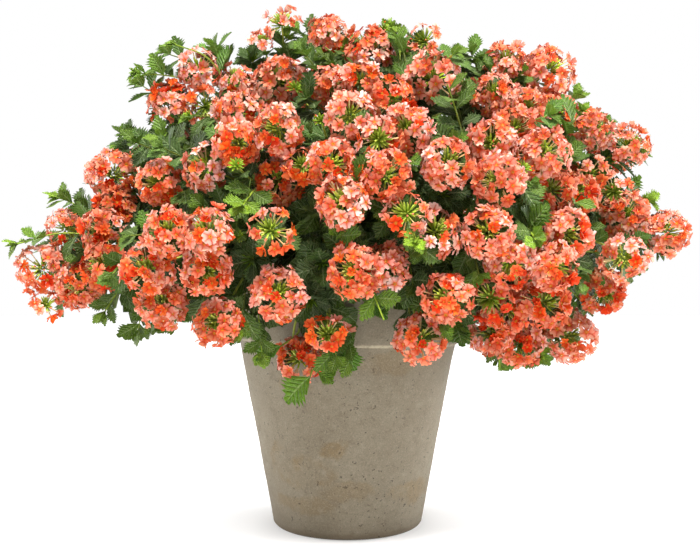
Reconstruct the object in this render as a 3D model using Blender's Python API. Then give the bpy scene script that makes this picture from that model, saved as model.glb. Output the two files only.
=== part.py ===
# Verbena in full flower in a conical concrete pot.
# Metres, +Z up. The origin is the middle of the pot's foot; -Y is the front.
import bpy
import bmesh
import math
import random
from mathutils import Vector, Matrix
from mathutils.bvhtree import BVHTree

# ---------------------------------------------------------------- sizes
POT_FOOT_R = 0.0722        # flat part of the foot
POT_EDGE_R = 0.0772        # wall radius just above the rounded edge
POT_EDGE_H = 0.0050
BAND_Z = 0.1880            # lower edge of the rim band
BAND_R_UNDER = 0.1124
BAND_R = 0.1138
RIM_Z = 0.2520
RIM_R = 0.1257
WALL = 0.0130              # wall thickness at the rim
FLOOR_Z = 0.0160
FLOOR_R = 0.0640
POT_SIDES = 36
DRAIN_R = 0.0060
DRAIN_RING_R = 0.0360
GAP = 0.0003               # clearance between touching pieces

SOIL_TOP_Z = 0.2300
CROWN_R = 0.0480
CROWN_H = 0.0120

STEM_R_BASE = 0.0026       # half diagonal of a square stem at the crown
STEM_R_FORK = 0.0019
PEDUNCLE_R = 0.0013
SHOOT_R = 0.0013
LEAF_T = 0.0011            # blade thickness
STEM_COUNT = 25
SHOOT_COUNT = 31

# The mound of foliage: widest at MID_Z
MID_Z = 0.290
HALF_X = 0.353
HALF_Y_FRONT = 0.238
HALF_Y_BACK = 0.222
RISE = 0.250
DROP = 0.160

# Viewing point from which the places of the flower heads are laid out
EYE = Vector((0.0025, -0.885, 0.2335))
EYE_TILT = math.radians(1.15)
EYE_F = 841.0

# Flower heads of the front: place and radius on the view, place of the calyx
# centre, and kind (m mature, o older and loose, y young, b bud, h half hidden)
HEADS = [
    (111, 171, 27, 114, 170, "m"), (157, 180, 24, 151, 181, "m"), (166, 142, 18, 166, 140, "h"),
    (64, 228, 20, 68, 230, "o"), (101, 231, 25, 95, 230, "m"), (112, 205, 19, 110, 198, "h"),
    (39, 269, 24, 38, 267, "o"), (76, 284, 23, 72, 287, "m"), (98, 266, 19, 86, 265, "h"),
    (145, 268, 27, 143, 262, "m"), (162, 304, 26, 160, 299, "m"), (168, 227, 26, 167, 224, "m"),
    (44, 305, 12, 44, 302, "y"), (197, 65, 21, 197, 60, "o"), (169, 98, 23, 166, 88, "m"),
    (203, 104, 17, 203, 106, "y"), (236, 77, 20, 236, 68, "o"), (251, 55, 14, 251, 50, "h"),
    (277, 76, 26, 276, 70, "m"), (281, 20, 17, 280, 13, "y"), (238, 112, 25, 238, 117, "m"),
    (276, 126, 24, 271, 125, "m"), (236, 141, 23, 238, 143, "m"), (203, 165, 25, 195, 162, "o"),
    (295, 86, 9, 295, 80, "b"), (236, 164, 9, 236, 160, "b"), (277, 178, 27, 277, 177, "m"),
    (302, 163, 17, 302, 160, "y"), (144, 138, 9, 143, 132, "b"), (262, 38, 10, 262, 33, "y"),
    (327, 31, 22, 326, 22, "m"), (368, 45, 25, 366, 34, "m"), (424, 37, 17, 421, 33, "y"),
    (433, 73, 27, 433, 64, "o"), (384, 27, 7, 384, 22, "b"), (332, 84, 19, 335, 84, "m"),
    (360, 80, 21, 360, 76, "m"), (378, 80, 17, 380, 74, "h"), (392, 98, 22, 394, 98, "m"),
    (349, 113, 22, 349, 113, "o"), (407, 127, 28, 405, 122, "m"), (379, 137, 19, 380, 137, "y"),
    (321, 119, 9, 321, 114, "b"), (332, 162, 25, 338, 162, "m"), (387, 174, 27, 390, 172, "m"),
    (448, 160, 27, 451, 155, "m"), (507, 58, 19, 507, 48, "m"), (551, 66, 26, 556, 61, "m"),
    (495, 92, 24, 495, 86, "m"), (527, 105, 20, 528, 103, "m"), (557, 110, 20, 558, 107, "h"),
    (515, 127, 18, 515, 124, "h"), (594, 127, 18, 597, 124, "m"), (632, 142, 20, 637, 138, "o"),
    (492, 141, 22, 491, 140, "m"), (545, 150, 26, 546, 147, "m"), (498, 178, 22, 492, 177, "m"),
    (523, 167, 9, 523, 161, "b"), (590, 174, 16, 587, 178, "y"), (553, 188, 16, 553, 186, "h"),
    (206, 230, 25, 199, 223, "m"), (206, 270, 26, 208, 270, "m"), (250, 260, 21, 243, 263, "h"),
    (270, 227, 20, 270, 224, "y"), (278, 293, 28, 278, 289, "m"), (216, 323, 22, 213, 322, "m"),
    (311, 302, 17, 308, 306, "h"), (341, 200, 23, 336, 194, "m"), (443, 191, 22, 443, 187, "h"),
    (407, 212, 19, 406, 209, "y"), (438, 228, 25, 444, 221, "o"), (354, 271, 23, 348, 270, "m"),
    (386, 266, 22, 380, 259, "m"), (322, 262, 17, 322, 260, "h"), (447, 298, 27, 438, 293, "m"),
    (421, 340, 26, 422, 337, "m"), (328, 335, 17, 328, 332, "y"), (299, 360, 23, 296, 357, "m"),
    (488, 229, 23, 486, 228, "m"), (512, 265, 22, 513, 276, "m"), (568, 231, 28, 570, 232, "m"),
    (556, 266, 22, 561, 268, "m"), (491, 299, 21, 487, 300, "y"), (546, 303, 27, 547, 298, "m"),
    (509, 309, 14, 509, 309, "h"), (492, 334, 23, 490, 333, "m"), (520, 345, 24, 520, 345, "m"),
    (571, 337, 26, 572, 335, "m"), (615, 190, 16, 613, 192, "y"), (578, 190, 13, 578, 188, "h"),
    (628, 215, 25, 630, 210, "m"), (670, 231, 22, 673, 230, "m"), (625, 258, 20, 621, 262, "o"),
    (607, 292, 23, 610, 294, "m"),
]

# Outline of the flowers and leaves on the view
OUTLINE = [
    (14, 262), (22, 240), (52, 228), (84, 165), (120, 128), (143, 100), (150, 80), (176, 62),
    (212, 42), (262, 22), (297, 8), (330, 10), (370, 22), (403, 25), (425, 24), (445, 40),
    (485, 44), (525, 42), (551, 40), (576, 65), (578, 95), (612, 115), (648, 130), (650, 158),
    (660, 195), (690, 222), (680, 252), (645, 272), (629, 290), (607, 316), (597, 340), (570, 362),
    (520, 370), (470, 350), (425, 364), (398, 345), (396, 300), (372, 300), (350, 360), (300, 398),
    (250, 345), (200, 342), (185, 322), (145, 340), (120, 318), (60, 318), (32, 308),
]

# Leafy shoots that show at the edge of the mound: base and tip on the view
SHOOTS = [
    (178, 84, 140, 72), (196, 70, 168, 50), (50, 232, 18, 242), (80, 222, 52, 196),
    (118, 285, 98, 322), (140, 306, 142, 342), (170, 330, 186, 346), (236, 318, 262, 352),
    (296, 366, 298, 398), (340, 338, 354, 368), (372, 292, 384, 320), (452, 322, 468, 344),
    (500, 350, 500, 368), (538, 340, 548, 360), (590, 306, 602, 326), (640, 214, 664, 200),
    (660, 246, 682, 258), (612, 160, 640, 150), (560, 96, 590, 100), (506, 74, 522, 70),
    (455, 110, 447, 84), (395, 62, 402, 36), (312, 56, 316, 38), (250, 176, 242, 206),
    (400, 244, 418, 240), (530, 214, 536, 240),
]


# ---------------------------------------------------------------- scene helpers
for ob in list(bpy.data.objects):
    bpy.data.objects.remove(ob, do_unlink=True)


def material(name, colour, rough):
    m = bpy.data.materials.new(name)
    m.use_nodes = True
    b = m.node_tree.nodes["Principled BSDF"]
    b.inputs["Base Color"].default_value = (colour[0], colour[1], colour[2], 1.0)
    b.inputs["Roughness"].default_value = rough
    b.inputs["Metallic"].default_value = 0.0
    m.diffuse_color = (colour[0], colour[1], colour[2], 1.0)
    return m


MAT_POT = material("concrete", (0.30, 0.26, 0.20), 0.9)
MAT_SOIL = material("soil", (0.030, 0.020, 0.013), 0.95)
MAT_CROWN = material("woody_stem", (0.12, 0.09, 0.045), 0.8)
MAT_FLOWER = material("petals", (0.87, 0.22, 0.12), 0.6)
MAT_LEAF = material("leaf", (0.055, 0.125, 0.035), 0.55)


def add_object(name, verts, faces, mat, smooth=False):
    me = bpy.data.meshes.new(name)
    me.from_pydata([tuple(v) for v in verts], [], [tuple(f) for f in faces])
    me.update()
    me.materials.append(mat)
    if smooth:
        me.shade_smooth()
        me.set_sharp_from_angle(angle=math.radians(35))
    ob = bpy.data.objects.new(name, me)
    bpy.context.scene.collection.objects.link(ob)
    return ob


def turned(profile, sides):
    """A solid turned about Z from (r, z) points that run from the lower middle round to the upper middle."""
    verts, faces, rings = [], [], []
    for r, z in profile:
        if r < 1e-6:
            rings.append([len(verts)])
            verts.append(Vector((0, 0, z)))
        else:
            rings.append(list(range(len(verts), len(verts) + sides)))
            for k in range(sides):
                a = 2 * math.pi * k / sides
                verts.append(Vector((r * math.cos(a), r * math.sin(a), z)))
    for a, b in zip(rings, rings[1:]):
        for k in range(sides):
            n = (k + 1) % sides
            if len(a) == 1 and len(b) == 1:
                continue
            if len(a) == 1:
                faces.append((a[0], b[n], b[k]))
            elif len(b) == 1:
                faces.append((a[k], a[n], b[0]))
            else:
                faces.append((a[k], a[n], b[n], b[k]))
    return verts, faces


# ---------------------------------------------------------------- the pot
def pot_radius(z):
    """Outer wall radius at a height."""
    if z < BAND_Z:
        return POT_EDGE_R + (BAND_R_UNDER - POT_EDGE_R) * max(z - POT_EDGE_H, 0.0) / (BAND_Z - POT_EDGE_H)
    return BAND_R + (RIM_R - BAND_R) * min(z - BAND_Z, RIM_Z - BAND_Z) / (RIM_Z - BAND_Z)


def pot_inner_radius(z):
    top = RIM_R - WALL
    return FLOOR_R + (top - FLOOR_R) * (z - FLOOR_Z) / (RIM_Z - FLOOR_Z)


pot_profile = [
    (0.0, 0.0),
    (POT_FOOT_R, 0.0),
    (POT_FOOT_R + 0.0036, 0.0014),
    (POT_EDGE_R, POT_EDGE_H),
    (BAND_R_UNDER, BAND_Z),
    (BAND_R, BAND_Z + 0.0012),
    (RIM_R, RIM_Z - 0.0020),
    (RIM_R - 0.0020, RIM_Z),
    (RIM_R - WALL + 0.0020, RIM_Z),
    (RIM_R - WALL, RIM_Z - 0.0020),
    (FLOOR_R, FLOOR_Z),
    (0.0, FLOOR_Z),
]
pv, pf = turned(pot_profile, POT_SIDES)
pot = add_object("pot", pv, pf, MAT_POT, smooth=True)
for i in range(3):
    a = math.radians(30 + 120 * i)
    cut = bpy.data.meshes.new("drain_cutter_%d" % i)
    bm = bmesh.new()
    bmesh.ops.create_cone(bm, cap_ends=True, segments=8, radius1=DRAIN_R, radius2=DRAIN_R, depth=0.06)
    bm.to_mesh(cut)
    bm.free()
    cutter = bpy.data.objects.new("drain_cutter_%d" % i, cut)
    cutter.location = (DRAIN_RING_R * math.cos(a), DRAIN_RING_R * math.sin(a), 0.0)
    cutter.hide_render = True
    cutter.display_type = "WIRE"
    bpy.context.scene.collection.objects.link(cutter)
    mod = pot.modifiers.new("drain_%d" % i, "BOOLEAN")
    mod.operation = "DIFFERENCE"
    mod.object = cutter

# ---------------------------------------------------------------- the soil
low = FLOOR_Z + GAP
inset = GAP * 1.4
soil_profile = [
    (0.0, low),
    (pot_inner_radius(low) - inset, low),
    (pot_inner_radius(SOIL_TOP_Z - 0.006) - inset, SOIL_TOP_Z - 0.006),
    (0.080, SOIL_TOP_Z - 0.002),
    (0.060, SOIL_TOP_Z),
    (0.0, SOIL_TOP_Z),
]
sv, sf = turned(soil_profile, POT_SIDES)
add_object("potting_soil", sv, sf, MAT_SOIL, smooth=True)

# ---------------------------------------------------------------- the root crown
CROWN_LOW = SOIL_TOP_Z + GAP
CROWN_TOP = CROWN_LOW + CROWN_H
cv, cf = turned([
    (0.0, CROWN_LOW),
    (CROWN_R * 0.96, CROWN_LOW),
    (CROWN_R, CROWN_LOW + CROWN_H * 0.45),
    (CROWN_R * 0.88, CROWN_TOP),
    (0.0, CROWN_TOP),
], 14)
add_object("root_crown", cv, cf, MAT_CROWN, smooth=True)


# ---------------------------------------------------------------- shape of the mound
def sight(px, py):
    u = (px - 350.0) / EYE_F
    v = -(py - 280.0) / EYE_F
    c, s = math.cos(EYE_TILT), math.sin(EYE_TILT)
    return Vector((u, c - s * v, s + c * v)).normalized()


def on_view(p):
    d = p - EYE
    c, s = math.cos(EYE_TILT), math.sin(EYE_TILT)
    depth = c * d.y + s * d.z
    return 350.0 + EYE_F * d.x / depth, 280.0 - EYE_F * (c * d.z - s * d.y) / depth


def bulk(p):
    """Below 1 inside the mound, above 1 outside it."""
    w = min(max((p.x + 0.12) / 0.24, 0.0), 1.0)
    n = 1.5 + 0.4 * w * w * (3 - 2 * w)
    hy = HALF_Y_FRONT if p.y < 0 else HALF_Y_BACK
    if p.z >= MID_Z:
        return (abs(p.x) / HALF_X) ** n + (abs(p.y) / hy) ** n + ((p.z - MID_Z) / RISE) ** n
    return (abs(p.x) / HALF_X) ** 2 + (abs(p.y) / hy) ** 2 + ((MID_Z - p.z) / DROP) ** 2


def outward(p):
    e = 0.004
    g = Vector((
        bulk(p + Vector((e, 0, 0))) - bulk(p - Vector((e, 0, 0))),
        bulk(p + Vector((0, e, 0))) - bulk(p - Vector((0, e, 0))),
        bulk(p + Vector((0, 0, e))) - bulk(p - Vector((0, 0, e))),
    ))
    return g.normalized() if g.length > 1e-9 else Vector((0, 0, 1))


def reach(direction, level=1.0):
    """Distance along a sight line to the mound; near its outline, to the nearest approach."""
    best, best_t, first = 1e9, 0.9, None
    t = 0.58
    while t < 1.16:
        f = bulk(EYE + direction * t)
        if first is None and f < level:
            lo, hi = t - 0.004, t
            for _ in range(12):
                mid = (lo + hi) / 2
                if bulk(EYE + direction * mid) < level:
                    hi = mid
                else:
                    lo = mid
            first = hi
        if f < best:
            best, best_t = f, t
        t += 0.004
    if first is None:
        return best_t
    w = min(max((best - 0.42) / 0.45, 0.0), 1.0)
    w = w * w * (3 - 2 * w)
    return first + (best_t - first) * w


def inside_outline(x, y, margin):
    """Whether a point of the view lies inside the mound's outline, at least a margin from it."""
    odd, near = False, 1e9
    n = len(OUTLINE)
    for i in range(n):
        ax, ay = OUTLINE[i]
        bx, by = OUTLINE[(i + 1) % n]
        if (ay > y) != (by > y) and x < (bx - ax) * (y - ay) / (by - ay) + ax:
            odd = not odd
        ux, uy = bx - ax, by - ay
        t = min(max(((x - ax) * ux + (y - ay) * uy) / (ux * ux + uy * uy), 0.0), 1.0)
        near = min(near, math.hypot(x - ax - t * ux, y - ay - t * uy))
    return odd and near >= margin


def clear_of_pot(p, r):
    """Distance by which a ball stands clear of the pot's outside."""
    if p.z > RIM_Z + r:
        return p.z - RIM_Z - r
    return math.hypot(p.x, p.y) - pot_radius(min(p.z + r, RIM_Z)) - r


class Head:
    pass


def place_heads():
    heads = []
    for px, py, r, cx, cy, kind in HEADS:
        h = Head()
        h.d = sight(px, py)
        h.t = reach(h.d, 0.93)
        h.kind = kind
        h.fixed = True
        size = r * h.t / EYE_F
        if kind in "mo":
            h.r = min(max(size, 0.0215), 0.0270)
        elif kind == "h":
            h.r = 0.0220
            h.t += 0.030
        elif kind == "y":
            h.r = min(max(size, 0.0110), 0.0180)
        else:
            h.r = min(max(size, 0.0060), 0.0085)
        k = 0.9 / r
        ax, az = (cx - px) * k, -(cy - py) * k
        m = math.hypot(ax, az)
        if m > 0.9:
            ax, az = ax * 0.9 / m, az * 0.9 / m
        h.tilt = (ax, az)
        h.p = EYE + h.d * h.t
        heads.append(h)
    # spread in depth wherever two heads would run into each other
    for _ in range(80):
        for i, a in enumerate(heads):
            for b in heads[i + 1:]:
                need = 0.92 * (a.r + b.r) + 0.001
                gap = (a.p - b.p).length
                if gap < need:
                    push = (need - gap) * 0.5 + 0.0004
                    first, second = (a, b) if a.t < b.t or (a.t == b.t and a.r >= b.r) else (b, a)
                    first.t -= push * 0.35
                    second.t += push * 0.9
                    a.p = EYE + a.d * a.t
                    b.p = EYE + b.d * b.t
        for h in heads:
            if clear_of_pot(h.p, h.r * 0.75) < 0.004 and h.p.y < 0:
                h.t -= 0.002
                h.p = EYE + h.d * h.t
    # the sides, the top and the back, which the view doesn't reach
    rng = random.Random(17)
    golden = math.pi * (3 - math.sqrt(5))
    count = 760
    extra = []
    for i in range(count):
        z = 1 - 2 * (i + 0.5) / count
        rr = math.sqrt(1 - z * z)
        a = golden * i
        d = Vector((rr * math.cos(a) * 1.2, rr * math.sin(a), z * 0.8)).normalized()
        core = Vector((0, 0, MID_Z))
        lo, hi = 0.02, 0.5
        for _ in range(24):
            mid = (lo + hi) / 2
            if bulk(core + d * mid) < 0.90:
                lo = mid
            else:
                hi = mid
        p = core + d * lo
        p += outward(p) * (rng.random() - 0.6) * 0.020
        r = 0.0215 + 0.0045 * rng.random()
        kind = "m"
        roll = rng.random()
        if roll < 0.10:
            kind, r = "y", 0.0145
        elif roll < 0.28:
            kind = "o"
        if p.z < 0.195 or p.y < -0.045:
            continue
        vx, vy = on_view(p)
        if not inside_outline(vx, vy, r * EYE_F / 0.9 * 0.92):
            continue
        if clear_of_pot(p, r) < 0.006:
            continue
        spread = 0.0560 if p.z > 0.30 else 0.062
        if len(heads) + len(extra) < 146 and all((p - h.p).length > spread * (0.8 if h.r < 0.015 else 1.0) for h in heads + extra):
            h = Head()
            h.p, h.r, h.kind, h.fixed = p, r, kind, False
            h.tilt = None
            extra.append(h)
    heads += extra
    right, up = Vector((1, 0, 0)), Vector((0, 0, 1))
    for h in heads:
        n = outward(h.p)
        if h.tilt is None:
            jit = Vector((rng.random() - 0.5, rng.random() - 0.5, rng.random() - 0.3)) * 0.5
            h.axis = (n + up * 0.30 + jit).normalized()
        else:
            ax, az = h.tilt
            ay = math.sqrt(max(1 - ax * ax - az * az, 0.0))
            facing = (right * ax + up * az - h.d * ay).normalized()
            h.axis = (facing * 0.72 + n * 0.28 + up * 0.10).normalized()
    return heads


# ---------------------------------------------------------------- solid shapes
def frame_of(axis):
    z = axis.normalized()
    helper = Vector((0, 0, 1)) if abs(z.z) < 0.9 else Vector((1, 0, 0))
    x = helper.cross(z).normalized()
    return x, z.cross(x), z


def head_solid(h, grow=0.0):
    """The outer shape of a flower head: a low dome over a shallow funnel."""
    x, y, z = frame_of(h.axis)
    r = h.cad_r + grow
    sides = 6 if h.r > 0.0185 else 5 if h.r > 0.010 else 4
    verts = [h.p - z * (0.58 * h.cad_r + grow)]
    faces = []
    for fr, fz in ((1.0, -0.02), (0.58, 0.40)):
        for k in range(sides):
            a = 2 * math.pi * (k + 0.25) / sides
            zz = fz * h.cad_r + (grow if fz > 0 else 0)
            verts.append(h.p + x * (fr * r * math.cos(a)) + y * (fr * r * math.sin(a)) + z * zz)
    for k in range(sides):
        n = (k + 1) % sides
        faces.append((0, 1 + n, 1 + k))
        faces.append((1 + k, 1 + n, 1 + sides + n, 1 + sides + k))
    faces.append(tuple(range(1 + sides, 1 + 2 * sides)))
    return verts, faces


def tube(points, radii, grow=0.0, first_axis=None, sides=4):
    """A stem along a path: square for the main stems, three-edged for the thin ones."""
    verts, faces = [], []
    n = len(points)
    t0 = (points[1] - points[0]).normalized()
    x, y, _ = frame_of(t0)
    prev = t0
    for i, p in enumerate(points):
        if i == 0:
            t = first_axis if first_axis is not None else t0
        elif i == n - 1:
            t = (points[-1] - points[-2]).normalized()
        else:
            t = ((points[i] - points[i - 1]).normalized() + (points[i + 1] - points[i]).normalized()).normalized()
        q = prev.rotation_difference(t)
        x = q @ x
        y = q @ y
        prev = t
        rr = radii[i] + grow
        o = p
        if grow and i == n - 1:
            o = p + t * grow
        for k in range(sides):
            a = 2 * math.pi * k / sides
            verts.append(o + (x * math.cos(a) + y * math.sin(a)) * rr)
    for i in range(n - 1):
        for k in range(sides):
            m = (k + 1) % sides
            faces.append((sides * i + k, sides * i + m, sides * (i + 1) + m, sides * (i + 1) + k))
    faces.append(tuple(range(sides - 1, -1, -1)))
    faces.append(tuple(range(sides * (n - 1), sides * n)))
    return verts, faces


def leaf_solid(base, along, normal, length, width, grow=0.0):
    """A leaf blade, folded a little along its midrib and pointed at both ends."""
    y = along.normalized()
    x = y.cross(normal).normalized()
    z = x.cross(y).normalized()
    th = LEAF_T / 2 + grow
    w = width / 2 + grow
    lift = 0.14 * width
    ring = [(0.0, 0.0, 0.0), (w, 0.42, lift), (0.0, 1.0, -0.05 * length), (-w, 0.42, lift)]
    verts = []
    for s in (1, -1):
        for a, t, up in ring:
            edge = 0.55 if a else 1.0
            verts.append(base + x * a + y * (t * length + (grow if t == 1.0 else 0)) + z * (up + s * th * edge))
        verts.append(base + y * (0.42 * length) + z * (s * th))
    top, low = [0, 1, 2, 3], [5, 6, 7, 8]
    faces = []
    for k in range(4):
        m = (k + 1) % 4
        faces.append((top[k], top[m], 4))
        faces.append((low[m], low[k], 9))
        faces.append((top[m], top[k], low[k], low[m]))
    return verts, faces


def bezier(a, b, c, d, n):
    out = []
    for i in range(n + 1):
        t = i / n
        s = 1 - t
        out.append(a * s ** 3 + b * (3 * s * s * t) + c * (3 * s * t * t) + d * t ** 3)
    return out


class Placed:
    """A placed solid with its box and search tree, for keeping the pieces apart."""

    def __init__(self, node, verts, faces):
        self.node = node
        self.lo = [min(v[i] for v in verts) for i in range(3)]
        self.hi = [max(v[i] for v in verts) for i in range(3)]
        self.tree = BVHTree.FromPolygons([tuple(v) for v in verts], [tuple(f) for f in faces])
        self.verts = verts


def hits(candidate, placed, skip=None):
    for p in placed:
        if p.node == skip:
            continue
        if any(candidate.lo[i] > p.hi[i] or candidate.hi[i] < p.lo[i] for i in range(3)):
            continue
        if candidate.tree.overlap(p.tree):
            return p
    return None


def inside_head(v, heads, skip, margin=0.001):
    for h in heads:
        if h.node == skip:
            continue
        d = v - h.p
        if d.length > h.r * 1.1:
            continue
        a = d.dot(h.axis)
        rr = (d - h.axis * a).length
        if -0.58 * h.cad_r - margin < a < 0.40 * h.cad_r + margin and rr < h.cad_r * 0.9:
            return True
    return False


# ---------------------------------------------------------------- grouping the heads on stems
heads = place_heads()
for h in heads:
    h.cad_r = h.r * 0.94
    h.node = None


def spread_out(points, k):
    """k starting points, each the farthest from those before it."""
    chosen = [0]
    while len(chosen) < k:
        best = max(range(len(points)), key=lambda i: min((points[i] - points[c]).length for c in chosen))
        chosen.append(best)
    return [points[c].copy() for c in chosen]


positions = [h.p for h in heads]
centres = spread_out(positions, STEM_COUNT)
for _ in range(14):
    groups = [[] for _ in centres]
    for i, p in enumerate(positions):
        k = min(range(len(centres)), key=lambda c: (p - centres[c]).length + 0.0065 * max(len(groups[c]) - 4, 0))
        groups[k].append(i)
    for k, g in enumerate(groups):
        if g:
            centres[k] = sum((positions[i] for i in g), Vector()) / len(g)
groups = [g for g in groups if g]
groups.sort(key=lambda g: sum(math.atan2(positions[i].y, positions[i].x) for i in g) / len(g))

# obstacles: pot, soil and crown
placed = []


def world_piece(node, profile, sides):
    v, f = turned(profile, sides)
    placed.append(Placed(node, v, f))


world_piece("pot", pot_profile, POT_SIDES)
world_piece("potting_soil", soil_profile, POT_SIDES)
placed.append(Placed("root_crown", cv, cf))

for k, g in enumerate(groups):
    for i in g:
        heads[i].node = "flowering_stem_%02d" % (k + 1)

# shrink a head's solid a little where it still meets one of another stem
head_trees = []
for h in heads:
    for _ in range(12):
        v, f = head_solid(h, 0.0004)
        cand = Placed(h.node, v, f)
        if hits(cand, placed) is None and hits(cand, head_trees, skip=h.node) is None:
            break
        h.cad_r *= 0.94
    head_trees.append(cand)
placed += head_trees

# ---------------------------------------------------------------- stems from the crown
rng = random.Random(5)
names = ["flowering_stem_%02d" % (k + 1) for k in range(len(groups))]
centroid = [sum((heads[i].p for i in g), Vector()) / len(g) for g in groups]
order = sorted(range(len(groups)), key=lambda k: -(centroid[k].z - 0.6 * math.hypot(centroid[k].x, centroid[k].y)))
inner = order[:8]
outer = order[8:]
root_at = {}
for j, k in enumerate(sorted(inner, key=lambda k: math.atan2(centroid[k].y, centroid[k].x))):
    a = math.atan2(centroid[k].y, centroid[k].x)
    a = -math.pi + 2 * math.pi * (j + 0.5) / len(inner)
    root_at[k] = Vector((0.0150 * math.cos(a), 0.0150 * math.sin(a), CROWN_TOP + 0.0004))
ring = sorted(outer, key=lambda k: math.atan2(centroid[k].y, centroid[k].x))
for j, k in enumerate(ring):
    a = -math.pi + 2 * math.pi * (j + 0.5) / len(ring)
    rr = 0.0385 if j % 2 else 0.0290
    root_at[k] = Vector((rr * math.cos(a), rr * math.sin(a), CROWN_TOP + 0.0004))

pieces = {n: [] for n in names}      # (verts, faces) of each stem's solids
paths = []                           # (node, points, radius) for the leafy shoots to spring from
trunks = {}
for k in range(len(groups)):
    c = centroid[k]
    core = Vector((0.22 * c.x, 0.22 * c.y, 0.30 + 0.25 * (c.z - 0.30)))
    tip = core.lerp(c, 0.58)
    flat = math.hypot(tip.x, tip.y)
    if tip.z < 0.292 and flat < 0.165:
        tip.z = 0.292
    start = root_at[k]
    best = None
    for attempt in range(60):
        j = 0.0006 * attempt
        jit = Vector((rng.uniform(-j, j), rng.uniform(-j, j), rng.uniform(0, j)))
        lean = Vector((start.x, start.y, 0.0))
        b = start + Vector((0, 0, 0.034)) + lean * 0.35
        away = (tip - Vector((0, 0, tip.z - 0.06))).normalized() if flat > 1e-4 else Vector((0, 0, 1))
        back = Vector((away.x * 0.8, away.y * 0.8, 0.25 if c.z < 0.34 else 0.7)).normalized()
        d = tip + jit
        cc = d - back * 0.040 + jit * 0.5
        if c.z < 0.30:
            cc = Vector((d.x * 0.62, d.y * 0.62, max(d.z, 0.300) + 0.012)) + jit
        pts = bezier(start, b, cc, d, 6)
        rad = [STEM_R_BASE + (STEM_R_FORK - STEM_R_BASE) * i / 6 for i in range(7)]
        v, f = tube(pts, rad, 0.0003, Vector((0, 0, 1)))
        v = [q if q.z > start.z - 0.00005 else Vector((q.x, q.y, start.z)) for q in v]
        cand = Placed(names[k], v, f)
        if hits(cand, placed, skip=names[k]) is None:
            best = (pts, rad)
            break
    if best is None:
        best = (pts, rad)
        print("stem kept with contact:", names[k])
    pts, rad = best
    trunks[k] = (pts, rad)
    v, f = tube(pts, rad, 0.0, Vector((0, 0, 1)))
    placed.append(Placed(names[k], v, f))
    pieces[names[k]].append((v, f))
    paths.append((names[k], pts, STEM_R_FORK))

dropped = 0
for k, g in enumerate(groups):
    pts, rad = trunks[k]
    node = names[k]
    for i in sorted(g, key=lambda i: -heads[i].r):
        h = heads[i]
        tip = h.p - h.axis * (0.30 * h.cad_r)
        below = h.p - h.axis * (0.58 * h.cad_r + 0.022)
        pr = PEDUNCLE_R if h.kind != "b" else PEDUNCLE_R * 0.85
        done = False
        for attempt in range(160):
            j = 0.0004 * attempt
            where = (6, 5, 6, 4, 5, 3)[attempt % 6] if attempt else (6 if rng.random() < 0.5 else 5)
            s = pts[where]
            jit = Vector((rng.uniform(-j, j), rng.uniform(-j, j), rng.uniform(-j, j)))
            mid = s.lerp(below, 0.5) + Vector((0, 0, 0.10 * (below - s).length)) + jit
            line = [s, mid.lerp(below, 0.45), tip]
            r0 = min(pr * 1.25, rad[where] * 0.86)
            v, f = tube(line, [r0, pr, pr * 0.9], 0.0004, sides=3)
            cand = Placed(node, v, f)
            if hits(cand, placed, skip=node) is not None:
                continue
            done = True
            break
        if not done:
            dropped += 1
            h.node = None
            for t in head_trees:
                if t.verts[0] == head_solid(h, 0.0004)[0][0]:
                    placed.remove(t)
                    break
            continue
        v, f = tube(line, [r0, pr, pr * 0.9], sides=3)
        placed.append(Placed(node, v, f))
        pieces[node].append((v, f))
        paths.append((node, line[:2], pr))
        pieces[node].append(head_solid(h))
print("heads", len(heads), "dropped", dropped)
heads = [h for h in heads if h.node is not None]


# ---------------------------------------------------------------- leafy side shoots
def nearest_stem(p):
    best = None
    for node, pts, r in paths:
        for a, b in zip(pts, pts[1:]):
            ab = b - a
            t = min(max((p - a).dot(ab) / ab.length_squared, 0.15), 0.85)
            q = a + ab * t
            d = (p - q).length
            if best is None or d < best[0]:
                best = (d, q, ab.normalized(), r, node)
    return best


shoot_plan = []
for bx, by, tx, ty in SHOOTS:
    db, dt = sight(bx, by), sight(tx, ty)
    tb, tt = reach(db, 0.80), reach(dt, 1.0)
    base = EYE + db * (tb + 0.012)
    tip = EYE + dt * min(max(tt, tb - 0.03), tb + 0.03)
    shoot_plan.append((base, tip))
golden = math.pi * (3 - math.sqrt(5))
back_count = 60
for i in range(back_count):
    z = 1 - 2 * (i + 0.5) / back_count
    rr = math.sqrt(1 - z * z)
    a = golden * i + 0.6
    d = Vector((rr * math.cos(a), rr * math.sin(a), z * 0.8)).normalized()
    if d.y < 0.12 or d.z < -0.45:
        continue
    lo, hi = 0.02, 0.5
    core = Vector((0, 0, MID_Z))
    for _ in range(20):
        mid = (lo + hi) / 2
        if bulk(core + d * mid) < 1.0:
            lo = mid
        else:
            hi = mid
    tip = core + d * (lo - 0.008)
    base = core + d * (lo - 0.075) + Vector((0, 0, 0.004))
    if clear_of_pot(tip, 0.02) > 0.004 and clear_of_pot(base, 0.01) > 0.004:
        shoot_plan.append((base, tip))

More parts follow.
